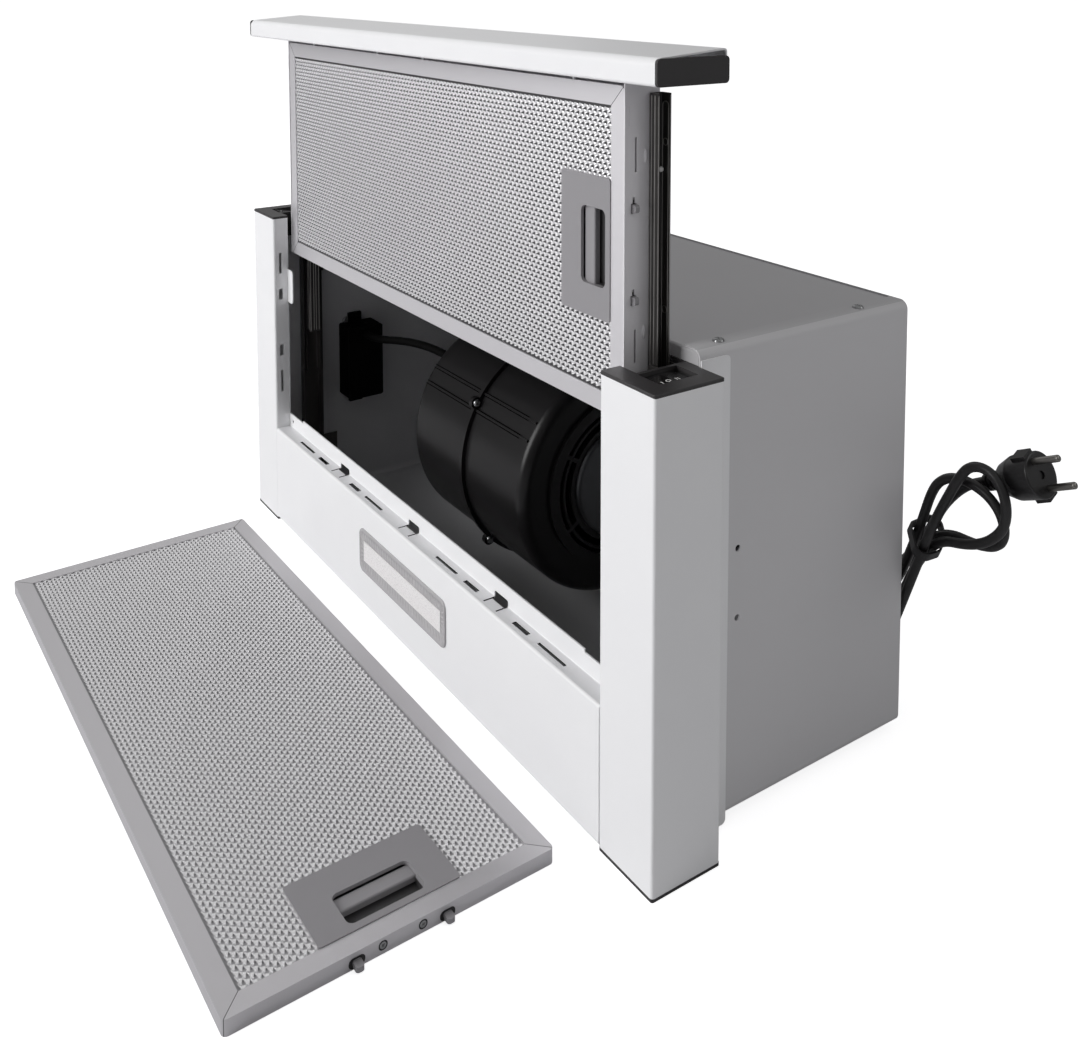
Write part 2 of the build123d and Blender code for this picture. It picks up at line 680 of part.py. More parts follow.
# ---- visor ----
def visor_frame():
    """Folded tray that carries the visor's filter: two sides, back and top."""
    half = SHEET / 2
    side = VISOR_SIDE_X - half
    line = [
        (-side, VISOR_FRONT),
        (-side, VISOR_BACK - half),
        (side, VISOR_BACK - half),
        (side, VISOR_FRONT),
    ]
    part = folded(line, SHEET, VISOR_TOP - VISOR_BOTTOM, level(VISOR_BOTTOM))
    inner = VISOR_SIDE_X - SHEET
    lid_y = (VISOR_FRONT, VISOR_BACK - SHEET)
    part += block((-inner, inner), lid_y, (VISOR_TOP - SHEET, VISOR_TOP))
    wall = VISOR_SIDE_X + 1
    for low, high in VISOR_SLOTS:
        part -= block((-wall, wall), (VISOR_SLOT_Y, VISOR_SLOT_Y + VISOR_SLOT_W), (low, high))
    for side in (-1, 1):
        z = FILTER_Z + side * ARM_Z
        y = (FILTER_Y + PIN_Y[0] - 0.5, FILTER_Y + PIN_Y[1] + 0.5)
        part -= block((inner - 2, wall), y, (z - ARM_W / 2 - 0.5, z + ARM_W / 2 + 0.5))
        notch_y = (FILTER_Y + PIN_Y[0] + 0.6, FILTER_Y + PIN_Y[1] - 0.6)
        part -= block((inner - 2, wall), notch_y, (z, z + ARM_W / 2 + 4.0))
    return part


VISOR_SLOT_Y = 24.8
VISOR_SLOT_W = 1.4
VISOR_SLOTS = [(284.0, 303.5), (395.0, 415.0)]


def visor_strip():
    """Front strip: a folded section with a rounded nose and a sloping top."""
    half = SHEET / 2
    low = STRIP_Z + half
    back = STRIP_D - half
    top_front = STRIP_TOP - half
    top_back = STRIP_TOP + STRIP_RISE - half
    line = [
        (18, low),
        (half, low),
        (half, top_front),
        (back, top_back),
        (back, low),
        (36, low),
    ]
    length = HOOD_W - 2 * END_CAP_T
    radii = [BEND_R, STRIP_NOSE_R, BEND_R, BEND_R]
    return folded(line, SHEET, length, across(-length / 2), radius=radii)


def strip_end_cap():
    """Moulded end of the strip, with a plug inside it."""
    x = HALF_W - END_CAP_T
    shape = Pos(STRIP_D / 2, STRIP_Z + STRIP_H / 2) * RectangleRounded(STRIP_D, STRIP_H, 2.5)
    part = extrude(across(x) * shape, amount=END_CAP_T)
    plug_z = (STRIP_Z + SHEET + 0.2, STRIP_TOP - SHEET - 1.5)
    return part + block((x - 8, x), (4, STRIP_D - 4), plug_z)


# ---- grease filter cassette, drawn lying along X with its front at y = 0 ----
HALF_L = FILTER_L / 2
HALF_H = FILTER_H / 2
WINDOW_X = HALF_L - FILTER_FACE
HANDLE_X = (WINDOW_X - HANDLE_L, WINDOW_X)
POCKET_X = (HALF_L - POCKET_END - POCKET_L, HALF_L - POCKET_END)
BAR_X = POCKET_X[0] + BAR_GAP
BAR_Y = (BAR_DEPTH, BAR_DEPTH + BAR_T)
PIN_Y = (FILTER_T - FILTER_SHEET - FIT - PIN_T, FILTER_T - FILTER_SHEET - FIT)
ARM_END = HALF_L - FILTER_SHEET - FIT
SPRING_Y = BAR_DEPTH + BAR_T / 2
SPRING_X = BAR_X - LATCH_TRAVEL - FIT - SPRING_L


def arm_z(side):
    return sorted((side * ARM_Z - ARM_W / 2, side * ARM_Z + ARM_W / 2))


def filter_frame():
    """Rolled frame of channel section, open inwards, with holes for latch pins and screws."""
    part = block((-HALF_L, HALF_L), (0, FILTER_T), (-HALF_H, HALF_H))
    part = fillet(part.edges().filter_by(Axis.Y), 3)
    window_z = HALF_H - FILTER_FACE
    part -= block((-WINDOW_X, WINDOW_X), (-1, FILTER_T + 1), (-window_z, window_z))
    inside_x = HALF_L - FILTER_SHEET
    inside_z = HALF_H - FILTER_SHEET
    core = (FILTER_SHEET, FILTER_T - FILTER_SHEET)
    part -= block((-inside_x, inside_x), core, (-inside_z, inside_z))
    wall = (HALF_L - FILTER_SHEET - 1, HALF_L + 1)
    for side in (-1, 1):
        z = arm_z(side)
        part -= block(wall, (PIN_Y[0] - FIT, PIN_Y[1] + FIT / 2), (z[0] - FIT, z[1] + FIT))
        part -= filter_screw(side)
    return part


MESH_SHEET = 0.5
MESH_FOLDS = 24


def filter_mesh():
    """Pack of mesh: two flat layers and a zigzag one between, cut away behind the handle."""
    inside_x = HALF_L - FILTER_SHEET - 0.5
    inside_z = HALF_H - FILTER_SHEET - 0.5
    front = FILTER_SHEET
    back = FILTER_T - FILTER_SHEET
    pitch = 2 * inside_z / MESH_FOLDS
    half_sheet = MESH_SHEET / 2
    folds = [
        (front + half_sheet if k % 2 else back - half_sheet, -inside_z + k * pitch)
        for k in range(MESH_FOLDS + 1)
    ]
    section = trace(Polyline(*folds), line_width=MESH_SHEET)
    section += Pos(front + half_sheet, 0) * Rectangle(MESH_SHEET, 2 * inside_z)
    section += Pos(back - half_sheet, 0) * Rectangle(MESH_SHEET, 2 * inside_z)
    section &= Pos((front + back) / 2, 0) * Rectangle(back - front, 2 * inside_z)
    part = extrude(across(-inside_x) * section, amount=2 * inside_x)
    part -= block((HANDLE_X[0], HALF_L), (0, FILTER_T), (-HANDLE_H / 2, HANDLE_H / 2))
    return part


def filter_handle():
    """Moulded plate with a finger pocket, spring seats and two screw bosses."""
    plate_y = (-HANDLE_PROUD, HANDLE_T - HANDLE_PROUD)
    half = HANDLE_H / 2
    part = block(HANDLE_X, plate_y, (-half, half))
    part = fillet(part.edges().filter_by(Axis.Y), 2)
    w = POCKET_WALL
    pocket_z = POCKET_H / 2
    tub_x = (POCKET_X[0] - w, POCKET_X[1] + w)
    part += block(tub_x, (0, POCKET_DEPTH + w), (-pocket_z - w, pocket_z + w))
    for side in (-1, 1):
        z = (side * FILTER_SCREW_Z - 3, side * FILTER_SCREW_Z + 3)
        part += block((POCKET_X[1] + w, HALF_L - FILTER_SHEET), (FILTER_SHEET, 7.6), z)
        seat_x = (SPRING_X - 2, SPRING_X)
        part += block(seat_x, (0, 7), arm_z(side))
        part += rod((SPRING_X, SPRING_Y, side * ARM_Z), SPRING_L * 0.6, 1.1)
    pocket = block(POCKET_X, (-2, POCKET_DEPTH), (-pocket_z, pocket_z))
    part -= fillet(pocket.edges().filter_by(Axis.Y), POCKET_CORNER_R)
    slot_x = (BAR_X - LATCH_TRAVEL - FIT, BAR_X + BAR_W + FIT)
    slot_z = (-pocket_z - w - 1, pocket_z + w + 1)
    part -= block(slot_x, (BAR_Y[0] - FIT, BAR_Y[1] + FIT), slot_z)
    for side in (-1, 1):
        part -= filter_screw(side)
    return part


def filter_latch():
    """Finger bar with two arms that end in the latch pins."""
    reach = ARM_Z + ARM_W / 2
    part = block((BAR_X, BAR_X + BAR_W), BAR_Y, (-reach, reach))
    front = part.edges().filter_by(Axis.Z).group_by(Axis.Y)[0]
    part = fillet(front, BAR_ROUND)
    for side in (-1, 1):
        arm = block((BAR_X, ARM_END), BAR_Y, arm_z(side))
        drop = block((ARM_END - 4, ARM_END), (BAR_Y[0], PIN_Y[1]), arm_z(side))
        pin = block((ARM_END - 4, HALF_L + LATCH_PROUD), PIN_Y, arm_z(side))
        tip = pin.edges().filter_by(Axis.Y).group_by(Axis.X)[-1]
        part += arm + drop + fillet(tip, ARM_W * 0.35)
    return part


def filter_screw(side):
    """Countersunk screw in the frame's end."""
    place = Pos(HALF_L, (FILTER_SHEET + 7.6) / 2, side * FILTER_SCREW_Z)
    head = Cone(1.5, 2.7, 1.2, align=(Align.CENTER, Align.CENTER, Align.MAX))
    shank = Pos(0, 0, -1.2) * Cylinder(1.5, 6, align=(Align.CENTER, Align.CENTER, Align.MAX))
    return place * Rot(0, 90, 0) * (head + shank)


def filter_spring(side):
    """Latch spring at its shut length, on the handle's peg."""
    z = side * ARM_Z
    tube = rod((SPRING_X, SPRING_Y, z), SPRING_L, 1.9)
    return tube - rod((SPRING_X - 1, SPRING_Y, z), SPRING_L + 2, 1.3)


def save_filter(prefix, place):
    """One cassette, in six nodes, at its place."""
    save(f"{prefix}_filter_frame", place * filter_frame())
    save(f"{prefix}_filter_mesh", place * filter_mesh())
    save(f"{prefix}_filter_handle", place * filter_handle())
    save(f"{prefix}_filter_latch", place * filter_latch())
    save(f"{prefix}_filter_screws", *[place * filter_screw(s) for s in (-1, 1)])
    save(f"{prefix}_filter_springs", *[place * filter_spring(s) for s in (-1, 1)])


# ---- switches ----
ROCKER_PIVOT_Z = CHANNEL_TOP - 4.5
ROCKER_HEIGHT = 9.0


def switch_body():
    """Switch housing under the cap, open above for the rocker."""
    w = SWITCH_WALL
    x = (ROCKER_X - ROCKER_W / 2 - w, ROCKER_X + ROCKER_W / 2 + w)
    y = (ROCKER_Y - ROCKER_L / 2 - w, ROCKER_Y + ROCKER_L / 2 + w)
    part = block(x, y, (CHANNEL_TOP - SWITCH_DEPTH - 8, CHANNEL_TOP))
    part -= rocker_hole((CHANNEL_TOP - SWITCH_DEPTH, CHANNEL_TOP + 1))
    part -= rod((x[0] - 1, ROCKER_Y, ROCKER_PIVOT_Z), x[1] - x[0] + 2, ROCKER_PIN_R + SHAFT_PLAY)
    return part


def rocker(tilt):
    """Rocker with a slightly roofed top, on two pivot stubs."""
    half = ROCKER_L / 2 - 1.3
    outline = Polygon((-half, -5), (half, -5), (half, 3.6), (0, 4.6), (-half, 3.6), align=None)
    width = ROCKER_W - 2 * FIT
    place = Pos(ROCKER_X, ROCKER_Y, ROCKER_PIVOT_Z) * Rot(tilt, 0, 0)
    body = extrude(across(-width / 2) * outline, amount=width)
    stub = ROCKER_W + 2 * SWITCH_WALL
    return place * (body + rod((-stub / 2, 0, 0), stub, ROCKER_PIN_R))


# ---- outlet collar and its flaps ----
FLAP_Y = HOUSING_BACK + 9.0
FLAP_GAP = 1.0


def collar():
    """Spigot with a fixing flange, and an upright pin across it for the flaps."""
    centre = Pos(COLLAR_X, COLLAR_Z)
    tube = centre * (Circle(COLLAR_R) - Circle(COLLAR_R - COLLAR_WALL))
    flange = centre * (Circle(COLLAR_R + 9) - Circle(COLLAR_R - COLLAR_WALL))
    part = extrude(along(HOUSING_BACK) * tube, amount=-COLLAR_L)
    part += extrude(along(HOUSING_BACK) * flange, amount=-2)
    reach = COLLAR_R - COLLAR_WALL / 2
    return part + rod((COLLAR_X, FLAP_Y, COLLAR_Z - reach), 2 * reach, FLAP_PIN_R, "Z")


def flap(side):
    """Half-round flap with two knuckles on the pin; side is -1 for left and 1 for right."""
    radius = COLLAR_R - COLLAR_WALL - FLAP_GAP
    keep = Pos(side * (radius / 2 + FLAP_KNUCKLE_R), 0) * Rectangle(radius, 2 * radius)
    half_disc = Circle(radius) & keep
    plate = extrude(along(FLAP_Y + FLAP_T / 2) * Pos(COLLAR_X, COLLAR_Z) * half_disc, amount=FLAP_T)
    part = plate
    for k in range(2):
        z = COLLAR_Z + side * FLAP_GAP + (-30 if k == 0 else 15) + side * 7
        knuckle = rod((COLLAR_X, FLAP_Y, z), 12, FLAP_KNUCKLE_R, "Z")
        web_x = sorted((COLLAR_X, COLLAR_X + side * (FLAP_KNUCKLE_R + 2)))
        knuckle += block(web_x, (FLAP_Y - FLAP_T / 2, FLAP_Y + FLAP_T / 2), (z, z + 12))
        part += knuckle
        part -= rod((COLLAR_X, FLAP_Y, z - 1), 14, FLAP_PIN_R + SHAFT_PLAY, "Z")
    return part


# ---- mains lead: gland, lead, bundle, tie and plug ----
# The lead leaves the gland behind the box, is folded into a bundle of two long loops and two
# short ones, tied where they cross, and ends in its plug.  The points are chosen by hand.
GLAND = (176, 251, 114)
ROUTE_GLAND = [
    GLAND, (176, 260.5, 114), (176.3, 270.3, 109.6), (177.3, 277, 100.5), (179.5, 279, 89.5),
    (184, 276.2, 78.8), (192, 269, 70), (203, 259.5, 63.5), (216, 250, 60), (230, 247.4, 63),
    (243, 248, 71), (253, 248, 82), (261, 248, 94),
]
ROUTE_BUNDLE = [
    (267, 248, 108), (272.5, 247.8, 122), (278, 247, 136), (282.5, 247, 150), (286, 247.5, 162),
    (291.3, 247.5, 172.5), (300.5, 247.5, 179.5), (311.5, 247.5, 181.8), (321.5, 247.5, 180.5),
    (330.5, 247.5, 177.3), (338, 247.5, 170.8), (341.7, 248, 161.5), (340.2, 248.8, 151.8),
    (333, 250.5, 144.8), (322.5, 252.3, 140.6), (311, 253.8, 138.8), (299.5, 255, 138),
    (288.8, 255.5, 133.8), (279, 255.5, 126), (270, 255.5, 114.5), (260, 255.5, 101),
    (249.9, 255.5, 85.8), (237.6, 255.5, 70.2), (226, 255.5, 55), (214, 255.5, 41),
    (206.5, 255.4, 27.5), (208.2, 254.2, 13.5), (217.3, 251, 5), (230.2, 246, 2.9),
    (241.8, 241.5, 8.2), (249, 238.5, 20), (254, 237, 35), (260, 237, 51.5), (266.7, 237.1, 68.3),
    (273.4, 237, 86), (280, 237, 104), (286.5, 237, 121.5), (292.5, 237, 139), (299.5, 237.5, 156),
    (307, 238, 172), (314, 239, 186.5), (320.5, 239.5, 195.5), (329.8, 239.5, 198.8),
    (339, 239.5, 196.2), (345.5, 239.5, 188.6), (348.5, 239.5, 177.5), (346.5, 240, 165),
    (338, 240.5, 154.3), (327, 241.5, 146.5), (314, 243, 141), (301, 244.5, 137.5),
    (291, 244.8, 130.5), (282.5, 244.5, 119), (275, 244.5, 105), (268.9, 244.4, 90),
    (263.1, 244.4, 75), (259, 244.6, 60.5), (257.2, 245, 48), (254.2, 246.3, 36.3),
    (246.1, 250.1, 28.2), (235.4, 255.1, 26.1), (225.4, 259.8, 30.7), (219, 262.7, 40.8),
    (218.6, 263.2, 53), (225, 263.2, 65.5), (234, 263, 76.5), (243.3, 263, 87.5), (254, 263, 99.5),
    (263.5, 263, 112), (272, 262.5, 125),
]
ROUTE_PLUG = [
    (279.5, 261.5, 138), (286, 260.2, 150), (294, 259, 160.8), (302.3, 258.3, 169.8),
    (311.5, 258, 176.9), (320.5, 258, 181.2),
]
ROUTE = ROUTE_GLAND + ROUTE_BUNDLE + ROUTE_PLUG
ARC_SHARE = 0.45
CORD_SIDES = 8
TIE_AT = Vector(283, 249, 131)
TIE_ALONG = Vector(0.4, 0, 0.92)
TIE_T = 1.4
TIE_W = 6.0
TIE_EASE = 2.0
GLAND_FLANGE_R = 11.0
RELIEF_R = 4.6
PLUG_RELIEF_L = 14.0
PLUG_L = 29.0
PLUG_R = 14.5
PLUG_GRIP_W = 10.0
PLUG_GRIP_H = 1.2
PIN_L = 19.0
PIN_R = 2.2
PIN_PITCH = 18.6


def corner_radius(before, at, after):
    """Arc as large as the two runs at a point of the route allow."""
    run_in = Vector(*at) - Vector(*before)
    run_out = Vector(*after) - Vector(*at)
    half_turn = math.radians(run_in.get_angle(run_out)) / 2
    return ARC_SHARE * min(run_in.length, run_out.length) / math.tan(half_turn)


RADII = [corner_radius(*ROUTE[k - 1:k + 2]) for k in range(1, len(ROUTE) - 1)]


def middle(k):
    """Middle of the run from point k of the route to the next."""
    return tuple((Vector(*ROUTE[k]) + Vector(*ROUTE[k + 1])) * 0.5)


def cord_line(first, last):
    """Straight runs and tangent arcs between two points of the route, cut in mid run."""
    inner = ROUTE[max(first, 1):last + 1]
    inner = inner if last < len(ROUTE) - 1 else inner[:-1]
    start = ROUTE[0] if first == 0 else middle(first - 1)
    end = ROUTE[-1] if last >= len(ROUTE) - 1 else middle(last)
    radii = RADII[max(first, 1) - 1:max(first, 1) - 1 + len(inner)]
    return FilletPolyline(start, *inner, end, radius=radii)


def cord_tube(line):
    """Tube of many flat sides along a line."""
    side_r = CORD_D / 2 / math.cos(math.pi / CORD_SIDES)
    start = Plane(origin=line @ 0, z_dir=line % 0)
    section = start * RegularPolygon(side_r, CORD_SIDES)
    tube = sweep(section, path=line)
    share = tube.volume / (section.area * line.length)
    print(f"cord stretch {line.length:.0f} mm, volume over section times length {share:.4f}")
    return tube


def least_gap(line, step=3.0, near=24.0):
    """Least distance between two stretches of one line, less the cord's diameter."""
    count = int(line.length / step)
    points = [line @ (k / count) for k in range(count + 1)]
    skip = int(near / step)
    gaps = [
        (points[a] - points[b]).length
        for a in range(count + 1)
        for b in range(a + skip, count + 1)
        if abs(points[a].X - points[b].X) < 2 * CORD_D
    ]
    return min(gaps) - CORD_D


def gland():
    """Flanged gland on the back panel with a tapered strain relief."""
    x, y, z = GLAND
    part = rod((x, HOUSING_BACK, z), 4, GLAND_FLANGE_R, "Y")
    cone = Cone(GLAND_FLANGE_R * 0.7, RELIEF_R, y - HOUSING_BACK, align=(Align.CENTER,) * 2 + (Align.MIN,))
    return part + Pos(x, HOUSING_BACK, z) * Rot(-90, 0, 0) * cone


def tie():
    """Band pulled tight round the bundle's five strands."""
    plane = Plane(origin=TIE_AT, x_dir=(0, 1, 0), z_dir=TIE_ALONG)
    spots = []
    for a, b in zip(ROUTE, ROUTE[1:]):
        low = plane.to_local_coords(Vector(*a))
        high = plane.to_local_coords(Vector(*b))
        if low.Z * high.Z < 0 and low.length < TIE_SEARCH:
            share = low.Z / (low.Z - high.Z)
            spot = low + (high - low) * share
            spots.append(Pos(spot.X, spot.Y) * Circle(CORD_D / 2 + TIE_EASE))
    hull = make_hull([edge for spot in spots for edge in spot.edges()])
    band = offset(hull, TIE_T) - hull
    return extrude(plane * band, amount=TIE_W / 2, both=True)


TIE_SEARCH = 40.0


def plug_plane():
    """Plane at the plug's cable end, its Z towards the pins and its X across them."""
    end = Vector(*ROUTE[-1])
    ahead = (end - Vector(*ROUTE[-2])).normalized()
    side = ahead.cross(Vector(0, 1, 0)).normalized()
    across_pins = (side * math.cos(PLUG_TWIST) - Vector(0, 1, 0) * math.sin(PLUG_TWIST)).normalized()
    return Plane(origin=end, x_dir=across_pins, z_dir=ahead)


PLUG_TWIST = math.radians(20)


def plug_body():
    """Moulded round plug: ribbed strain relief, domed body, two grips and the flat face."""
    dome = [
        (0, PLUG_RELIEF_L),
        (PLUG_R * 0.62, PLUG_RELIEF_L),
        (PLUG_R - 0.8, PLUG_RELIEF_L + PLUG_L * 0.4),
        (PLUG_R, PLUG_RELIEF_L + PLUG_L),
        (0, PLUG_RELIEF_L + PLUG_L),
    ]
    section = Polygon(*dome, align=None)
    turned = section.vertices().sort_by(Axis.Y)
    section = fillet([v for v in turned if 1 < v.X < PLUG_R - 0.1], 4.5)
    body = revolve(Plane.XZ * section, Axis.Z)
    body = fillet(body.edges().group_by(Axis.Z)[-1], 1.2)
    body += Cone(RELIEF_R, RELIEF_R + 1.4, PLUG_RELIEF_L, align=(Align.CENTER,) * 2 + (Align.MIN,))
    for step in range(3):
        rib = Cylinder(RELIEF_R + 1.4, 1.6, align=(Align.CENTER,) * 2 + (Align.MIN,))
        body += Pos(0, 0, 2.4 + step * PLUG_RELIEF_L / 4) * rib
    grip_x = (PLUG_R - 2, PLUG_R + PLUG_GRIP_H)
    grip_z = (PLUG_RELIEF_L + PLUG_L - 11, PLUG_RELIEF_L + PLUG_L - 1)
    for turn in (0, 180):
        body += Rot(0, 0, turn) * block(grip_x, (-PLUG_GRIP_W / 2, PLUG_GRIP_W / 2), grip_z)
    body -= Pos(0, 0, PLUG_RELIEF_L + PLUG_L) * Cylinder(2.6, 2.4)
    return plug_plane().location * body


def plug_pins():
    """Two round pins with rounded tips."""
    plane = plug_plane().offset(PLUG_RELIEF_L + PLUG_L)
    pins = []
    for side in (-1, 1):
        pin = Cylinder(PIN_R, PIN_L, align=(Align.CENTER, Align.CENTER, Align.MIN))
        pin = fillet(pin.edges().group_by(Axis.Z)[-1], PIN_R * 0.6)
        pins.append(plane.location * (Pos(side * PIN_PITCH / 2, 0) * pin))
    return pins


# ---- write the nodes ----
right_channel = channel()
save("pillar_right", right_channel)
save("pillar_left", left_of(right_channel))
right_cap = cap()
save("pillar_cap_right", right_cap)
save("pillar_cap_left", left_of(right_cap))
save("pillar_feet", *both(foot()))

save("light_panel", light_panel())
save("lamp_bezel", lamp_bezel())
save("lamp_diffuser", lamp_diffuser())
save("lamp_board", lamp_board())

box_side = housing_side()
save("housing_side_right", box_side)
save("housing_side_left", left_of(box_side))
save("housing_top", housing_plate(HOUSING_TOP - 2 * SHEET, -HOUSING_HEM))
save("housing_bottom", housing_plate(HOUSING_BOTTOM + SHEET, HOUSING_HEM))
save("housing_back", housing_back())
screw_x = BOX_X - HOUSING_BEND - 2
screws = []
for screw_y in (HOUSING_FRONT + 21, HOUSING_BACK - 39):
    screws += both(dome_screw(screw_x, screw_y, HOUSING_TOP))
save("housing_screws", *screws)

save("blower_case_left", case_half(FAN_LEFT, FAN_SPLIT))
save("blower_case_right", case_half(FAN_RIGHT, FAN_SPLIT))
save("blower_screws", *[fan_screw(a) for a in BOSS_ANGLES])
save("impeller", impeller())
save("motor_shaft", shaft())
save("fan_motor", motor())
save("inlet_grille", grille())
save("run_capacitor", capacitor())
save("control_box", control_box())
save("internal_cable", loom(LOOM_BOX), loom(LOOM_FLOOR))

inner = slide_inner()
save("slide_inner_right", inner)
save("slide_inner_left", left_of(inner))
save("slide_middle_members", *both(slide_middle()))
balls = slide_balls()
save("slide_balls", *balls, *[left_of(b) for b in balls])
outer = slide_outer()
save("slide_outer_right", outer)
save("slide_outer_left", left_of(outer))
brackets = []
for low in CARRIER_Z:
    brackets += both(carrier(low))
save("slide_carriers", *brackets)

save("visor_frame", visor_frame())
save("visor_strip", visor_strip())
save("strip_end_caps", *both(strip_end_cap()))

save_filter("visor", Pos(0, FILTER_Y, FILTER_Z))
save_filter("loose", Pos(LOOSE_X, LOOSE_Y, FILTER_T) * Rot(0, 0, LOOSE_TURN) * Rot(-90, 0, 0))

save("speed_switch_body", switch_body())
save("light_switch_body", left_of(switch_body()))
save("speed_rocker", rocker(0))
save("light_rocker", left_of(rocker(-ROCKER_TILT)))

save("duct_collar", collar())
save("damper_flap_left", flap(-1))
save("damper_flap_right", flap(1))

last_gland = len(ROUTE_GLAND) - 1
last_bundle = last_gland + len(ROUTE_BUNDLE)
line_gland = cord_line(0, last_gland)
line_bundle = cord_line(last_gland + 1, last_bundle)
line_plug = cord_line(last_bundle + 1, len(ROUTE) - 1)
print("cord arcs, mm:", " ".join(f"{radius:.0f}" for radius in RADII))
print(f"least gap of the bundle to itself {least_gap(line_bundle):.2f} mm")
save("supply_cord", cord_tube(line_gland), cord_tube(line_plug))
save("supply_cord_hank", cord_tube(line_bundle))
save("cord_gland", gland())
save("cord_tie", tie())
save("plug_body", plug_body())
save("plug_pins", *plug_pins())
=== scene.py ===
import math

import bpy
import numpy as np
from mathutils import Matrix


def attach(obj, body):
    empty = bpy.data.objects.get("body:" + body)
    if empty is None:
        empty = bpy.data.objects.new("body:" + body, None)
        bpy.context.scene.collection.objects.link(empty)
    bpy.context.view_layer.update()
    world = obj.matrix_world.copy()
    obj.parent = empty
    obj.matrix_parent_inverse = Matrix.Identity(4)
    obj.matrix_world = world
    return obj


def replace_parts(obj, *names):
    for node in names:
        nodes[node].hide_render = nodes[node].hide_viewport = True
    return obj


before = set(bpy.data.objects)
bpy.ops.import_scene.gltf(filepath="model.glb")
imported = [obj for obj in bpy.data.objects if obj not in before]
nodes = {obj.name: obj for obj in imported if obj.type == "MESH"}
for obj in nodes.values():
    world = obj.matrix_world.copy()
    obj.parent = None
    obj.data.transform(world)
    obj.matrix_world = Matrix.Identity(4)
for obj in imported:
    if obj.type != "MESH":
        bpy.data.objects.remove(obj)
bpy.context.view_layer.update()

# ---- the view ----
# A telescopic cooker hood stood on its rear edge on a pale studio floor, seen from its right.
# One big soft light stands in front and to the left, two weak ones stand to the left and behind,
# and a dim sky fills what they leave in shade.
CAMERA_AT = (0.76741, -0.38592, 0.50822)
CAMERA_YAW = math.radians(55.61)
CAMERA_PITCH = math.radians(-4.36)
FOCAL_PX = 1172.61
PHOTO_W = 1079
PHOTO_H = 1051
CENTRE_PX = (553.16, 61.76)
SENSOR_MM = 36.0

camera_data = bpy.data.cameras.new("view")
camera_data.sensor_width = SENSOR_MM
camera_data.lens = FOCAL_PX / PHOTO_W * SENSOR_MM
camera_data.shift_x = 0.5 - CENTRE_PX[0] / PHOTO_W
camera_data.shift_y = (CENTRE_PX[1] - PHOTO_H / 2) / PHOTO_W
camera_data.clip_start = 0.01
camera = bpy.data.objects.new("view", camera_data)
camera.location = CAMERA_AT
camera.rotation_euler = (math.pi / 2 + CAMERA_PITCH, 0, CAMERA_YAW)
bpy.context.scene.collection.objects.link(camera)
bpy.context.scene.camera = camera
bpy.context.scene.view_settings.view_transform = "Standard"


def linear(colour):
    """Linear RGBA of an sRGB hex colour: the power curve's inverse, channel by channel."""
    channels = [int(colour[k:k + 2], 16) / 255 for k in (1, 3, 5)]
    low = [c / 12.92 if c < 0.04045 else ((c + 0.055) / 1.055) ** 2.4 for c in channels]
    return (*low, 1.0)


def add(tree, kind, links=(), values=(), **settings):
    """Adds one node to a tree, with its settings, its sockets' values and its links."""
    node = tree.nodes.new(kind)
    for name, value in settings.items():
        setattr(node, name, value)
    for socket, value in values:
        node.inputs[socket].default_value = value
    for socket, source in links:
        tree.links.new(source, node.inputs[socket])
    return node


def area_light(name, place, target, size, watts):
    """A square white light at a place, its face turned to a target point."""
    data = bpy.data.lights.new(name, "AREA")
    data.size = size
    data.energy = watts
    lamp = bpy.data.objects.new(name, data)
    lamp.location = place
    ahead = np.subtract(target, place)
    ahead = ahead / np.linalg.norm(ahead)
    lamp.rotation_euler = (math.acos(-ahead[2]), 0, math.atan2(ahead[0], -ahead[1]) + math.pi)
    bpy.context.scene.collection.objects.link(lamp)


# Each light's name, place, target, width in metres and power in watts.
area_light("key", (-1.05, -3.05, 1.5), (0, 0, 0.2), 2.2, 97)
area_light("side_box", (-2.0, 0.6, 1.5), (0, -0.1, 0.0), 1.8, 4.5)
area_light("back_side", (2.3, 2.0, 1.6), (0.28, 0.15, 0.2), 1.5, 8)

WHITE = (1.0, 1.0, 1.0, 1.0)
SKY_FULL_AT = 0.7            # the sine of the height at which the sky is at its brightest
SKY_UP = (0.04, 0.38)        # its strength at the horizon and up there
SKY_ASIDE = (0.85, 1.15)     # what that is multiplied by at the left and at the right

world = bpy.data.worlds.new("studio")
bpy.context.scene.world = world
world.use_nodes = True
sky = world.node_tree
sky.nodes.clear()
direction = add(sky, "ShaderNodeTexCoord")
toward = add(sky, "ShaderNodeSeparateXYZ", [("Vector", direction.outputs["Generated"])])
fade = add(sky, "ShaderNodeMapRange", [("Value", toward.outputs["Z"])], [
    ("From Min", 0.0), ("From Max", SKY_FULL_AT), ("To Min", SKY_UP[0]), ("To Max", SKY_UP[1])])
aside = add(sky, "ShaderNodeMapRange", [("Value", toward.outputs["X"])], [
    ("From Min", -1.0), ("From Max", 1.0), ("To Min", SKY_ASIDE[0]), ("To Max", SKY_ASIDE[1])])
strength = add(sky, "ShaderNodeMath", [(0, fade.outputs[0]), (1, aside.outputs[0])],
               operation="MULTIPLY")
ambient = add(sky, "ShaderNodeBackground", [("Strength", strength.outputs[0])],
              [("Color", WHITE)])
backdrop = add(sky, "ShaderNodeBackground", values=[("Color", WHITE), ("Strength", 1.0)])
ray = add(sky, "ShaderNodeLightPath")
shown = add(sky, "ShaderNodeMixShader", [
    ("Fac", ray.outputs["Is Camera Ray"]),
    (1, ambient.outputs[0]),
    (2, backdrop.outputs[0]),
])
add(sky, "ShaderNodeOutputWorld", [("Surface", shown.outputs[0])])


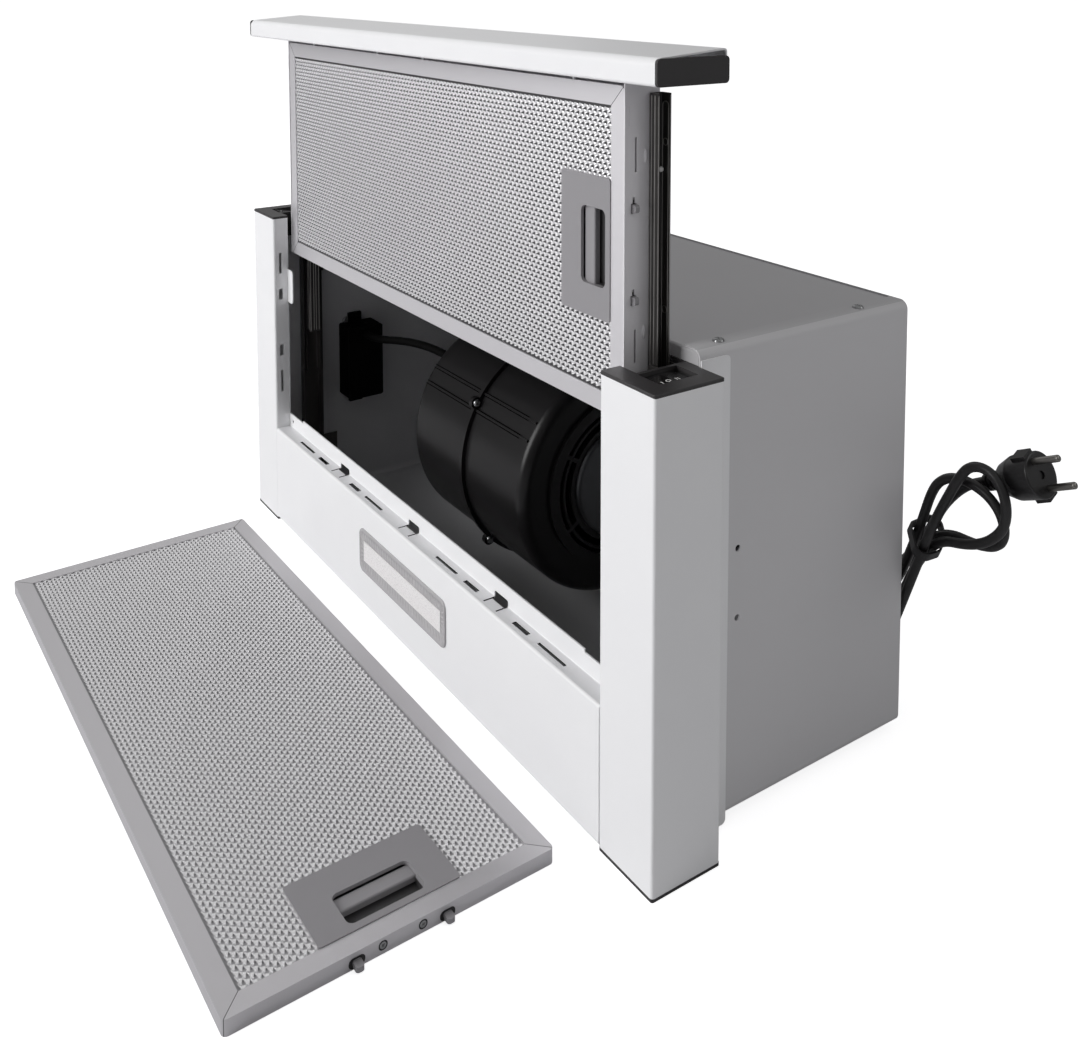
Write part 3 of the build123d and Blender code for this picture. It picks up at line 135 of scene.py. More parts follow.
def piece(name, vertices, faces, material, body="root"):
    """A smooth mesh object of the scene with its material, riding on a body."""
    mesh = bpy.data.meshes.new(name)
    mesh.from_pydata(np.asarray(vertices).tolist(), [], np.asarray(faces).tolist())
    mesh.polygons.foreach_set("use_smooth", [True] * len(mesh.polygons))
    mesh.materials.append(material)
    made = bpy.data.objects.new(name, mesh)
    bpy.context.scene.collection.objects.link(made)
    if body:
        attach(made, body)
    return made


PAPER_GLOW = 0.8
FLOOR_HALF = 90.0


def floor_paper():
    """Matt seamless paper: the camera sees it nearly white, and it throws little light back."""
    made = bpy.data.materials.new("seamless_paper")
    made.use_nodes = True
    tree = made.node_tree
    tree.nodes.clear()
    paper = add(tree, "ShaderNodeBsdfDiffuse", values=[("Color", linear("#D8D8DA"))])
    glow = add(tree, "ShaderNodeEmission", values=[("Color", WHITE), ("Strength", PAPER_GLOW)])
    both = add(tree, "ShaderNodeAddShader", [(0, paper.outputs[0]), (1, glow.outputs[0])])
    seen = add(tree, "ShaderNodeLightPath")
    mixed = add(tree, "ShaderNodeMixShader", [
        ("Fac", seen.outputs["Is Camera Ray"]), (1, paper.outputs[0]), (2, both.outputs[0])])
    add(tree, "ShaderNodeOutputMaterial", [("Surface", mixed.outputs[0])])
    return made


floor_corners = [(x, y, 0) for y in (-FLOOR_HALF, FLOOR_HALF) for x in (-FLOOR_HALF, FLOOR_HALF)]
floor = piece("floor", floor_corners, [(0, 1, 3, 2)], floor_paper(), body=None)


# ---- mains lead ----
# Round PVC-sheathed lead, folded into two long loops and two short ones and held by a tie.
# It leaves a tapered relief behind the box and ends in a two-pin plug.
MM = 0.001
CORD_D = 6.4 * MM
# Its middle line in millimetres, listed along the loops of the bundle.
CORD_ROUTE = [
    (176, 251, 114), (176, 260.5, 114), (176.3, 270.3, 109.6), (177.3, 277, 100.5),
    (179.5, 279, 89.5), (184, 276.2, 78.8), (192, 269, 70), (203, 259.5, 63.5), (216, 250, 60),
    (230, 247.4, 63), (243, 248, 71), (253, 248, 82), (261, 248, 94), (267, 248, 108),
    (272.5, 247.8, 122), (278, 247, 136), (282.5, 247, 150), (286, 247.5, 162),
    (291.3, 247.5, 172.5), (300.5, 247.5, 179.5), (311.5, 247.5, 181.8), (321.5, 247.5, 180.5),
    (330.5, 247.5, 177.3), (338, 247.5, 170.8), (341.7, 248, 161.5), (340.2, 248.8, 151.8),
    (333, 250.5, 144.8), (322.5, 252.3, 140.6), (311, 253.8, 138.8), (299.5, 255, 138),
    (288.8, 255.5, 133.8), (279, 255.5, 126), (270, 255.5, 114.5), (260, 255.5, 101),
    (249.9, 255.5, 85.8), (237.6, 255.5, 70.2), (226, 255.5, 55), (214, 255.5, 41),
    (206.5, 255.4, 27.5), (208.2, 254.2, 13.5), (217.3, 251, 5), (230.2, 246, 2.9),
    (241.8, 241.5, 8.2), (249, 238.5, 20), (254, 237, 35), (260, 237, 51.5), (266.7, 237.1, 68.3),
    (273.4, 237, 86), (280, 237, 104), (286.5, 237, 121.5), (292.5, 237, 139), (299.5, 237.5, 156),
    (307, 238, 172), (314, 239, 186.5), (320.5, 239.5, 195.5), (329.8, 239.5, 198.8),
    (339, 239.5, 196.2), (345.5, 239.5, 188.6), (348.5, 239.5, 177.5), (346.5, 240, 165),
    (338, 240.5, 154.3), (327, 241.5, 146.5), (314, 243, 141), (301, 244.5, 137.5),
    (291, 244.8, 130.5), (282.5, 244.5, 119), (275, 244.5, 105), (268.9, 244.4, 90),
    (263.1, 244.4, 75), (259, 244.6, 60.5), (257.2, 245, 48), (254.2, 246.3, 36.3),
    (246.1, 250.1, 28.2), (235.4, 255.1, 26.1), (225.4, 259.8, 30.7), (219, 262.7, 40.8),
    (218.6, 263.2, 53), (225, 263.2, 65.5), (234, 263, 76.5), (243.3, 263, 87.5), (254, 263, 99.5),
    (263.5, 263, 112), (272, 262.5, 125), (279.5, 261.5, 138), (286, 260.2, 150),
    (294, 259, 160.8), (302.3, 258.3, 169.8), (311.5, 258, 176.9), (320.5, 258, 181.2),
]


def grained(name, colour, tint, roughness, grain_mm, bump_mm, metallic=0.0,
            roughness_spread=0.06, cloud_mm=60.0, **settings):
    """A finish with a fine grain in its relief and gloss and slow clouds in its colour.

    The grain is noise of one real size, with a relief of so many millimetres, and the clouds are
    wider noise that mixes the colour with a slightly different tint."""
    made = bpy.data.materials.new(name)
    made.use_nodes = True
    tree = made.node_tree
    main = tree.nodes["Principled BSDF"]
    main.inputs["Metallic"].default_value = metallic
    for socket, value in settings.items():
        main.inputs[socket].default_value = value
    place = add(tree, "ShaderNodeTexCoord")
    grain = add(tree, "ShaderNodeTexNoise", [("Vector", place.outputs["Object"])],
                [("Scale", 1 / (grain_mm * MM)), ("Detail", 3.0), ("Roughness", 0.6)])
    cloud = add(tree, "ShaderNodeTexNoise", [("Vector", place.outputs["Object"])],
                [("Scale", 1 / (cloud_mm * MM)), ("Detail", 4.0), ("Roughness", 0.55)])
    bump = add(tree, "ShaderNodeBump", [("Height", grain.outputs["Fac"])],
               [("Strength", 1.0), ("Distance", bump_mm * MM)])
    tree.links.new(bump.outputs["Normal"], main.inputs["Normal"])
    blend = add(tree, "ShaderNodeMix", [(0, cloud.outputs["Fac"])],
                [(6, linear(colour)), (7, linear(tint))], data_type="RGBA")
    tree.links.new(blend.outputs[2], main.inputs["Base Color"])
    gloss = add(tree, "ShaderNodeMapRange", [("Value", grain.outputs["Fac"])],
                [("To Min", roughness - roughness_spread),
                 ("To Max", roughness + roughness_spread)])
    tree.links.new(gloss.outputs["Result"], main.inputs["Roughness"])
    return made


def dress(material, *names):
    """Gives a material to CAD nodes whose shape is right."""
    for name in names:
        mesh = nodes[name].data
        mesh.materials.clear()
        mesh.materials.append(material)


# Plasticised PVC, extruded: a soft satin black with a slight waxy sheen.
sheath = grained("pvc_sheath", "#181718", "#201F20", 0.4, 0.9, 0.03, IOR=1.52)

line = bpy.data.curves.new("mains_lead", "CURVE")
line.dimensions = "3D"
line.bevel_depth = CORD_D / 2
line.bevel_resolution = 5
line.use_fill_caps = True
spline = line.splines.new("NURBS")
spline.points.add(len(CORD_ROUTE) - 1)
spline.points.foreach_set("co", [v for p in CORD_ROUTE for v in (*(c * MM for c in p), 1.0)])
spline.order_u = 3
spline.use_endpoint_u = True
spline.resolution_u = 8
lead = bpy.data.objects.new("mains_lead", line)
line.materials.append(sheath)
bpy.context.scene.collection.objects.link(lead)
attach(lead, "root")
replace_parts(lead, "supply_cord", "supply_cord_hank")

# Nickel-plated brass pins: bright, slightly warm, dulled by handling.
nickel = grained("nickel_plate", "#8F8D89", "#82807C", 0.3, 0.5, 0.004, metallic=1.0)
# Moulded PVC of the plug and its relief: harder and glossier than the sheath.
plug_pvc = grained("moulded_pvc", "#131213", "#181718", 0.3, 0.8, 0.012, IOR=1.54)
dress(sheath, "cord_tie")
dress(plug_pvc, "plug_body", "cord_gland")
dress(nickel, "plug_pins")


# ---- side channels, their caps and feet ----
# Folded steel sheet with a white polyester powder coat, baked on: satin, with the faint
# orange peel of a sprayed powder.  The end pieces are black moulded ABS, pressed in.
white_enamel = grained("white_powder_coat", "#F4F4F5", "#EFEFF1", 0.36, 1.6, 0.010, IOR=1.5)
black_abs = grained("black_abs", "#2A2829", "#2F2D2E", 0.42, 0.7, 0.018, IOR=1.53)
dress(white_enamel, "pillar_left", "pillar_right")
dress(black_abs, "pillar_cap_left", "pillar_cap_right", "pillar_feet")


# ---- front panel and its lamp ----
# The panel is the same coated sheet, with a ledge that the body filter hooks into.  The lamp is
# a clear cover ribbed round its border, over an opal lens, snapped through the panel.
SLOT_EDGE_Z = (86.03, 86.97)     # the ledge's sheet between its two faces
SLOT_EDGE_Y = (3.2, 12.6)        # the strip of the ledge that its slots lie in
LEDGE_TOP_Z = (86.97, 87.3)
LEDGE_TOP_Y = (1.5, 13.0)


def between(tree, value, low, high):
    """One where a value in metres lies between two limits in millimetres, otherwise none."""
    return add(tree, "ShaderNodeMath", [(0, value)],
               [(1, (low + high) / 2 * MM), (2, (high - low) / 2 * MM)],
               operation="COMPARE").outputs[0]


def tinted(tree, factor, colour):
    """Mixes a colour over what the tree's shader already has, by a factor."""
    main = tree.nodes["Principled BSDF"]
    under = main.inputs["Base Color"].links[0].from_socket
    over = add(tree, "ShaderNodeMix", [(0, factor), (6, under)], [(7, linear(colour))],
               data_type="RGBA")
    tree.links.new(over.outputs[2], main.inputs["Base Color"])


def both_of(tree, a, b):
    """Product of two factors."""
    return add(tree, "ShaderNodeMath", [(0, a), (1, b)], operation="MULTIPLY").outputs[0]


# The ledge's slots are painted near-black on the sheet between its two faces, a painted shade for
# their shadowed openings, and its top is painted a shade greyer than the panel's front, a painted
# shade for the light that falls less on it.
panel_enamel = grained("painted_shade_white_coat_ledge", "#F4F4F5", "#EFEFF1", 0.36, 1.6, 0.010,
                       IOR=1.5)
tree = panel_enamel.node_tree
parts = add(tree, "ShaderNodeSeparateXYZ",
            [(0, add(tree, "ShaderNodeTexCoord").outputs["Object"])])
for depths, heights, colour in ((SLOT_EDGE_Y, SLOT_EDGE_Z, "#1C1B1C"),
                                (LEDGE_TOP_Y, LEDGE_TOP_Z, "#DEDEE0")):
    tinted(tree, both_of(tree, between(tree, parts.outputs["Z"], *heights),
                         between(tree, parts.outputs["Y"], *depths)), colour)
dress(panel_enamel, "light_panel")

LAMP_HALF = (70.0, 17.5)
LAMP_CORNER = 6.0
LENS_HALF = (62.5, 8.0)
LENS_CORNER = 1.0
LAMP_MIDDLE_Z = 48.5
RIB_PITCH = 4.4
RIB_DEPTH = 0.44


def rounded_outline(half_w, half_h, radius, per_side, per_corner):
    """Closed outline of a rounded rectangle, anticlockwise from its lower right corner's arc.

    Each corner is a quarter circle about its own centre, and each side a straight run of equal
    steps between two corners."""
    corners = []
    for k, (sx, sz) in enumerate([(1, -1), (1, 1), (-1, 1), (-1, -1)]):
        turn = np.linspace(0, math.pi / 2, per_corner) + (k - 1) * math.pi / 2
        centre = np.array([sx * (half_w - radius), sz * (half_h - radius)])
        corners.append(centre + radius * np.stack([np.cos(turn), np.sin(turn)], 1))
    runs = []
    for k in range(4):
        runs.append(corners[k])
        start, end = corners[k][-1], corners[(k + 1) % 4][0]
        share = np.linspace(0, 1, per_side[k % 2] + 1)[1:-1, None]
        runs.append(start + (end - start) * share)
    return np.concatenate(runs)


def lamp_cover():
    """Ring between the lamp's outline and its lens, on a section that rises, rounds and slopes in.

    A point is the outer outline plus a share of the way to the inner one.  Its height is the
    section's, less half the ribs' depth times one less a cosine of the way round, one wave for
    each rib, where the section slopes."""
    outer = rounded_outline(*LAMP_HALF, LAMP_CORNER, per_side=(60, 300), per_corner=12)
    inner = rounded_outline(*LENS_HALF, LENS_CORNER, per_side=(60, 300), per_corner=12)
    steps = np.linalg.norm(np.roll(outer, -1, 0) - outer, axis=1)
    way = np.cumsum(steps) - steps
    share = np.array([0, 0, 0.03, 0.10, 0.2, 0.26, 0.32, 0.5, 0.75, 0.96, 1.0, 1.0, 0.5])
    rise = np.array([-1.0, 0.7, 1.15, 1.3, 1.3, 1.15, 0.85, 0.8, 0.75, 0.7, 0.4, -1.0, -1.0])
    ribbed = np.array([0, 0, 0, 0, 0, 0, 1, 1, 1, 0.6, 0, 0, 0])
    wave = RIB_DEPTH / 2 * (np.cos(2 * math.pi * way / RIB_PITCH) - 1)
    flat = outer[None] + (inner - outer)[None] * share[:, None, None]
    lift = rise[:, None] + ribbed[:, None] * wave[None]
    return np.stack([flat[..., 0], -lift, flat[..., 1] + LAMP_MIDDLE_Z], -1) * MM


def closed_ring(name, points, material):
    """A piece from a grid of points, rows by columns by three, closed in both directions."""
    rows, columns = points.shape[:2]
    low = np.arange(rows * columns).reshape(rows, columns)
    high = np.roll(low, -1, 0)
    faces = np.stack([low, np.roll(low, -1, 1), np.roll(high, -1, 1), high], -1).reshape(-1, 4)
    return piece(name, points.reshape(-1, 3), faces, material)


# Clear polycarbonate over a grey tray: it reads as a pale grey gloss.
grey_cover = grained("clear_over_grey", "#ABA9AB", "#B4B2B4", 0.24, 0.8, 0.006, IOR=1.585)
cover = closed_ring("lamp_cover", lamp_cover(), grey_cover)
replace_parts(cover, "lamp_bezel")
# Opal acrylic, unlit: a warm white that lets a little light into it.
opal = grained("opal_acrylic", "#E9E6E7", "#EEECEC", 0.28, 1.0, 0.004, IOR=1.49)
# Glass-epoxy board under its green solder mask, hidden behind the lens.
board = grained("circuit_board", "#3E5A44", "#35503B", 0.5, 0.6, 0.01)
dress(opal, "lamp_diffuser")
dress(board, "lamp_board")


# ---- motor box ----
# Folded steel sheet in silver powder coat, a darker grey inside, held by dome screws with a cross
# recess.  The two tones meet in the thickness of the sheet, and the top and bottom plates are
# painted a darker grey as painted shade.
BOX_MIDDLE = (0.0, 141.5, 149.5)
BEND_CENTRE = (271.0, 0.0, 138.5)    # from the box's middle to the side panels' bends
SIDE_MIDDLE = 5.5        # from those centres to the middle of the side panels' sheet
PLATE_MIDDLE = 4.5       # and to that of the plates, which lie under the side panels' laps
INSIDE_Y = (52.5, 230.5)
LAP_Z = (293.3, 296.0)
SIDE_GREY = "#D6D5D7"
# Painted shade: the top and bottom plates and the side panels' laps take a darker grey than the
# sides.
PLATE_SHADE_GREY = "#C0BFC1"
INSIDE_GREY = "#B2B2B4"


def box_coat(name, outside, tint, middle):
    """Silver coat that turns to a darker grey inside the box, and on the laps to the plates' grey,
    a painted shade.

    Seen along the box's depth, its sheet is a rounded rectangle.  A point is inside where its
    distance past the bends' centres, across and up, is less than the sheet's middle."""
    made = grained(name, outside, tint, 0.44, 1.1, 0.010, cloud_mm=140, IOR=1.5)
    tree = made.node_tree
    place = add(tree, "ShaderNodeTexCoord").outputs["Object"]
    parts = add(tree, "ShaderNodeSeparateXYZ", [(0, place)])
    steps = [("SUBTRACT", [c * MM for c in BOX_MIDDLE]), ("ABSOLUTE", (0, 0, 0)),
             ("SUBTRACT", [c * MM for c in BEND_CENTRE]), ("MULTIPLY", (1, 0, 1)),
             ("MAXIMUM", (0, 0, 0))]
    for operation, value in steps:
        place = add(tree, "ShaderNodeVectorMath", [(0, place)], [(1, value)],
                    operation=operation).outputs[0]
    past = add(tree, "ShaderNodeVectorMath", [(0, place)], operation="LENGTH").outputs["Value"]
    near = add(tree, "ShaderNodeMath", [(0, past)], [(1, middle * MM)],
               operation="LESS_THAN").outputs[0]
    within = both_of(tree, near, between(tree, parts.outputs["Y"], *INSIDE_Y))
    lap = between(tree, parts.outputs["Z"], *LAP_Z)
    tinted(tree, lap, PLATE_SHADE_GREY)
    tinted(tree, within, INSIDE_GREY)
    return made


silver_enamel = box_coat("silver_powder_coat", SIDE_GREY, "#D2D1D3", SIDE_MIDDLE)
plate_shade_enamel = box_coat("painted_shade_silver_coat_plates", PLATE_SHADE_GREY, "#BBBABC", PLATE_MIDDLE)
dress(silver_enamel, "housing_side_left", "housing_side_right", "housing_back")
dress(plate_shade_enamel, "housing_top", "housing_bottom")
# Bright zinc plate on the screws: a cool metal with a faint crystal grain.
zinc = grained("zinc_plate", "#A9AAAB", "#9B9C9D", 0.3, 0.8, 0.006, metallic=1.0)


def screw_heads(places, ahead, radius, dome, recess, rings=16, spokes=64):
    """Round heads with a cross recess, one polar grid each, turned to look along an axis.

    Height over the seat is a quarter of the dome, plus the rest times one less the fourth power
    of the radius.  The recess is taken from it where the smaller of the two distances from the
    cross's lines is under 0.13 of the radius, out to 0.6 of it, with logistic edges."""
    share = np.linspace(0, 1, rings)[:, None]
    turn = np.linspace(0, 2 * math.pi, spokes, endpoint=False)[None]
    a = radius * share * np.cos(turn)
    b = radius * share * np.sin(turn)
    narrow = np.minimum(np.abs(a), np.abs(b)) / radius
    cross = 1 / (1 + np.exp((narrow - 0.13) * 60)) / (1 + np.exp((share - 0.6) * 40))
    lift = dome * (0.25 + 0.75 * (1 - share ** 4)) - recess * cross
    lift[-1] = 0
    ahead = np.asarray(ahead, float)
    side = np.cross(ahead, (0.31, 0.83, 0.46))
    side /= np.linalg.norm(side)
    other = np.cross(ahead, side)
    head = a[..., None] * side + b[..., None] * other + lift[..., None] * ahead
    return [(head + np.asarray(place)) * MM for place in places]


def joined(name, grids, body, material):
    """Several grids of points, each closed round its columns, in one piece."""
    vertices, faces, start = [], [], 0
    for grid in grids:
        rows, columns = grid.shape[:2]
        index = np.arange(rows * columns).reshape(rows, columns) + start
        ahead = np.roll(index, -1, 1)
        faces.append(np.stack([index[:-1], index[1:], ahead[1:], ahead[:-1]], -1).reshape(-1, 4))
        vertices.append(grid.reshape(-1, 3))
        start += rows * columns
    return piece(name, np.concatenate(vertices), np.concatenate(faces), material, body)


BOX_SCREW_X = 269
BOX_SCREW_Y = (72, 192)
BOX_TOP = 294
box_screws = joined("box_screws", screw_heads(
    [(side * BOX_SCREW_X, y, BOX_TOP) for side in (-1, 1) for y in BOX_SCREW_Y],
    (0, 0, 1), radius=3.6, dome=1.8, recess=1.0), "root", zinc)
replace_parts(box_screws, "housing_screws")


# ---- fan, motor and wiring ----
# Scroll, impeller and guard are moulded in glass-filled polypropylene, with the soft gloss of
# the tool; the motor is a steel can on a shaft; box, capacitor and loom are black plastic.

# Black glass-filled polypropylene: a broad soft sheen over a faint flow of the fibres.
fan_black = grained("glass_filled_polypropylene", "#161516", "#191819", 0.3, 2.4, 0.003,
                    roughness_spread=0.03, IOR=1.32)
# Rolled steel can of the motor, oiled: a dull dark metal.
motor_steel = grained("motor_bell", "#5A5B5D", "#4E4F51", 0.4, 0.8, 0.01, metallic=0.9)
# Matt black sleeving, taken nearly without gloss, since it hangs in the box's shade.
loom_black = grained("loom_sheath", "#070707", "#0A0A0A", 0.62, 0.9, 0.02, IOR=1.12)
dress(fan_black, "blower_case_left", "blower_case_right", "inlet_grille", "impeller")
dress(motor_steel, "fan_motor")
dress(loom_black, "internal_cable", "control_box", "run_capacitor")
dress(zinc, "motor_shaft")

# Screw that holds the control box's bracket, through the left side's upper fixing hole.
BRACKET_SCREW_AT = (-276.0, 82.0, 169.0)
joined("bracket_screw", screw_heads([BRACKET_SCREW_AT], (1, 0, 0), radius=3.4, dome=1.6,
                                    recess=0.9), "root", zinc)

FAN_AXIS = (137.5, 130.0)
SEAM_FLANGE_X = 10.0                     # right face of the flange that joins the halves
BOSS_REACH = 90.3
BOSS_TURNS = (32.5, -44.0)               # upwards from the front, in degrees
RIB_CREST = 88.35
RIB_TURNS = (28.4, 30.0, 37.5, 39.1)     # both sides of two ribs
RIB_RUNS = ((-68.0, 6.0), (10.0, 72.0))
CREASE_W = 0.6
CREASE_DEPTH = 0.3
case_screws = joined("case_screws", screw_heads(
    [(SEAM_FLANGE_X, FAN_AXIS[0] - BOSS_REACH * math.cos(math.radians(turn)),
      FAN_AXIS[1] + BOSS_REACH * math.sin(math.radians(turn))) for turn in BOSS_TURNS],
    (1, 0, 0), radius=3.0, dome=2.2, recess=1.0), "root", zinc)
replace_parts(case_screws, "blower_screws")


def crease(turn, x_from, x_to):
    """Flat tube along the case: four lines, at two angles about a turn and at two radii."""
    angle = math.radians(turn) + np.array([-1, 1, 1, -1]) * CREASE_W / 2 / RIB_CREST
    reach = RIB_CREST - np.array([0, 0, 1, 1]) * CREASE_DEPTH
    x = np.array([x_from, x_to])[:, None] + 0 * angle
    return np.stack([x, FAN_AXIS[0] - reach * np.cos(angle) + 0 * x,
                     FAN_AXIS[1] + reach * np.sin(angle) + 0 * x], -1) * MM


# Painted shade: near-black strips in the corners beside the case's two lengthwise ribs, with no
# gloss of their own.
shade_by_ribs = grained("painted_rib_corner_shade", "#030303", "#050505", 0.9, 0.9, 0.0, IOR=1.05)
joined("case_painted_shade_strips", [crease(turn, *run) for turn in RIB_TURNS for run in RIB_RUNS],
       "root", shade_by_ribs)


# ---- telescopic slides ----
# Cold-rolled steel sections, phosphated black and oiled, that run on small steel balls.  Two beads
# are rolled into the front flange and four into the web, and they and the lips are painted bright
# steel as painted highlights.

# Oiled phosphate: a dark brownish metal.  The beads, ridges, lips and pressed edges are real;
# their bright steel is a painted highlight.
dark_rail = grained("phosphated_steel", "#4C4A48", "#565452", 0.3, 0.8, 0.006, metallic=0.7)
highlight_rail = grained("painted_highlight_steel", "#A3A19E", "#8E8C8A", 0.3, 0.8, 0.006, metallic=0.9)
dress(dark_rail, "slide_outer_left", "slide_outer_right", "slide_carriers",
      "slide_middle_members", "slide_inner_left", "slide_inner_right", "slide_balls")

RAIL_X = 249.5
RAIL_Y = (34.7, 44.3)
RAIL_Z = (172.0, 440.0)
FLANGE_BEADS = (2.6, 5.6)                # outwards from the web
WEB_RIDGES_Y = (35.4, 38.4, 40.6, 43.4)
LIP_REACH = 8.4                          # outwards from the web
LIP_INSET = 0.5                          # from the flanges' outer faces


def rail_bead(side, x, y, radius, squash=1.0):
    """Bead along a rail: an ellipse swept upwards, its ends drawn in to a point."""
    turn = np.linspace(0, 2 * math.pi, 16, endpoint=False)
    share = np.array([0, 0.002, 0.005, 0.995, 0.998, 1.0])[:, None]
    size = np.array([0, 0.8, 1.0, 1.0, 0.8, 0])[:, None]
    z = RAIL_Z[0] + 1 + (RAIL_Z[1] - RAIL_Z[0] - 2) * share
    return np.stack([
        side * (x + radius * size * np.cos(turn)) + 0 * z,
        y + radius * squash * size * np.sin(turn) + 0 * z,
        z + 0 * turn,
    ], -1) * MM


for side, name in ((1, "right"), (-1, "left")):
    beads = [rail_bead(side, RAIL_X + at, RAIL_Y[0], radius=0.55, squash=0.6)
             for at in FLANGE_BEADS]
    joined("rail_beads_" + name, beads, "visor", highlight_rail)
    lips = [rail_bead(side, RAIL_X + LIP_REACH, y, radius=0.45)
            for y in (RAIL_Y[0] + LIP_INSET, RAIL_Y[1] - LIP_INSET)]
    joined("rail_lips_" + name, lips, "visor", highlight_rail)
    ridges = [rail_bead(side, RAIL_X, y, radius=0.38) for y in WEB_RIDGES_Y]
    joined("rail_ridges_" + name, ridges, "visor", highlight_rail)


def button(place, ahead, radius, dome):
    """Smooth round button: a screw's head with no recess and fewer faces."""
    return screw_heads([place], ahead, radius, dome, recess=0.0, rings=10, spokes=32)[0]


def looped_bead(place, across, half_w, half_z, radius, thick):
    """Bead pressed round an upright loop: a small circle swept along a rounded outline.

    The outline runs along one level axis and up.  The circle's two axes are the outline's own
    outward direction and the level axis square to the first."""
    path = rounded_outline(half_w, half_z, radius, per_side=(4, 24), per_corner=10)
    ahead = np.roll(path, -1, 0) - np.roll(path, 1, 0)
    ahead /= np.linalg.norm(ahead, axis=1)[:, None]
    out = np.stack([ahead[:, 1], -ahead[:, 0]], 1)
    turn = np.linspace(0, 2 * math.pi, 8, endpoint=False)
    flat = path[:, None] + thick * np.cos(turn)[None, :, None] * out[:, None]
    lift = thick * np.sin(turn)[None, :, None] * np.cross(across, (0, 0, 1))
    grid = flat[..., :1] * np.array(across) + flat[..., 1:] * np.array((0, 0, 1)) + lift
    grid = (grid + np.array(place)) * MM
    return np.concatenate([grid, grid[:1]])


BUTTON_AT = (253.0, 41.1, 395.7)
# Nylon button that joins the rail to the visor: plain white with a soft gloss.
nylon = grained("white_nylon", "#E9E8E6", "#E2E1DF", 0.4, 0.8, 0.004, IOR=1.53)
buttons = [button((side * BUTTON_AT[0], *BUTTON_AT[1:]), (side, 0, 0), radius=1.7, dome=0.9)
           for side in (-1, 1)]
joined("rail_buttons", buttons, "visor", nylon)

# Pressed edges of the long slot and of two holes in the back flange, in the painted highlight: the
# middle's height, then half the width, half the height, the corner and the bead's thickness.
FLANGE_MIDDLE_X = 254.2
FLANGE_INNER_Y = 43.3
LOOPS = ((307.5, (2.6, 127.5, 2.5, 0.34)),
         (411.6, (2.0, 2.0, 1.95, 0.27)),
         (313.8, (2.0, 2.0, 1.95, 0.27)))
joined("rail_loops", [looped_bead((side * FLANGE_MIDDLE_X, FLANGE_INNER_Y, z), (1, 0, 0), *size)
                      for side in (-1, 1) for z, size in LOOPS],
       "visor", highlight_rail)


# ---- visor tray and its strip ----
# The tray is folded sheet in grey powder coat.  The strip is the same white coated sheet as the
# channels, held by rivets under its front edge, with moulded end pieces.
grey_enamel = grained("grey_powder_coat", "#E4E2E5", "#DEDCDF", 0.38, 1.0, 0.010, IOR=1.5)
dress(grey_enamel, "visor_frame")
dress(white_enamel, "visor_strip")
dress(black_abs, "strip_end_caps")

TRAY_SIDE_X = 249.5
BUMPS_AT = ((32.4, 403.9), (31.8, 301.4))
TAB_AT = (19.1, 427.0)
RIVETS_X = (-190.0, -65.1, 10.0, 200.0)
RIVETS_AT = (17.45, 446.2)


def lanced_bump(side, y, z, half_y, half_z, proud):
    """Oval bump pressed outwards in the tray's side: an ellipse in plan, whose height falls with
    the cube of the distance from its middle."""
    share = np.linspace(0, 1, 9)[:, None]
    turn = np.linspace(0, 2 * math.pi, 32, endpoint=False)[None]
    return np.stack([
        side * (TRAY_SIDE_X + proud * (1 - share ** 3)) + 0 * turn,
        y + side * half_y * share * np.cos(turn),
        z + half_z * share * np.sin(turn),
    ], -1) * MM


bumps = [lanced_bump(side, y, z, half_y=1.4, half_z=4.2, proud=1.2)
         for side in (1, -1) for y, z in BUMPS_AT]
joined("tray_bumps", bumps, "visor", grey_enamel)
tabs = [looped_bead((side * TRAY_SIDE_X, *TAB_AT), (0, 1, 0), half_w=1.5, half_z=6.0,
                    radius=0.9, thick=0.24) for side in (-1, 1)]
joined("tray_tabs", tabs, "visor", grey_enamel)
rivets = screw_heads([(x, *RIVETS_AT) for x in RIVETS_X], (0, -1, 0), radius=1.7, dome=1.1,
                     recess=0.0, rings=8, spokes=24)
joined("strip_rivets", rivets, "visor", zinc)


# ---- grease filters ----
# A rolled aluminium frame, mitred at its corners, holds layers of expanded aluminium mesh.  A
# moulded plate at one end carries the finger bar whose two pins latch the filter.
FILTER_HALF = (248.0, 97.0)
FILTER_DEPTH = 9.0
WINDOW_HALF = (236.0, 85.0)
MESH_PITCH_X = 5.0
MESH_PITCH_Z = 3.04
MESH_DEPTH = 0.6             # of the strands' middle, behind the frame's face
STRAND_HALF = 1.06
STRAND_RISE = 0.55
GLINT_DEPTH = 0.26         # what stands nearer to the face than this takes a painted glint
HANDLE_START_X = 187.0
HANDLE_HALF_Z = 42.25
POCKET_SHADE_DEPTHS = (3.0, 12.0)
SEAM_HALF = 0.28             # of the hairline at a mitre
# Where each filter's middle is, how far it is turned about Z, and whether it lies flat.
FILTER_AT = {
    "visor": ((0.0, 18.0, 347.5), 0.0, False),
    "loose": ((-2.6, -127.1, 9.0), math.radians(0.75), True),
}


def seated(points, which):
    """Points of a filter lying along X with its front at y = 0, moved to where it is."""
    at, turn, flat = FILTER_AT[which]
    x, y, z = points[..., 0], points[..., 1], points[..., 2]
    if flat:
        y, z = z, -y
    return np.stack([
        x * math.cos(turn) - y * math.sin(turn) + at[0],
        x * math.sin(turn) + y * math.cos(turn) + at[1],
        z + at[2],
    ], -1) * MM


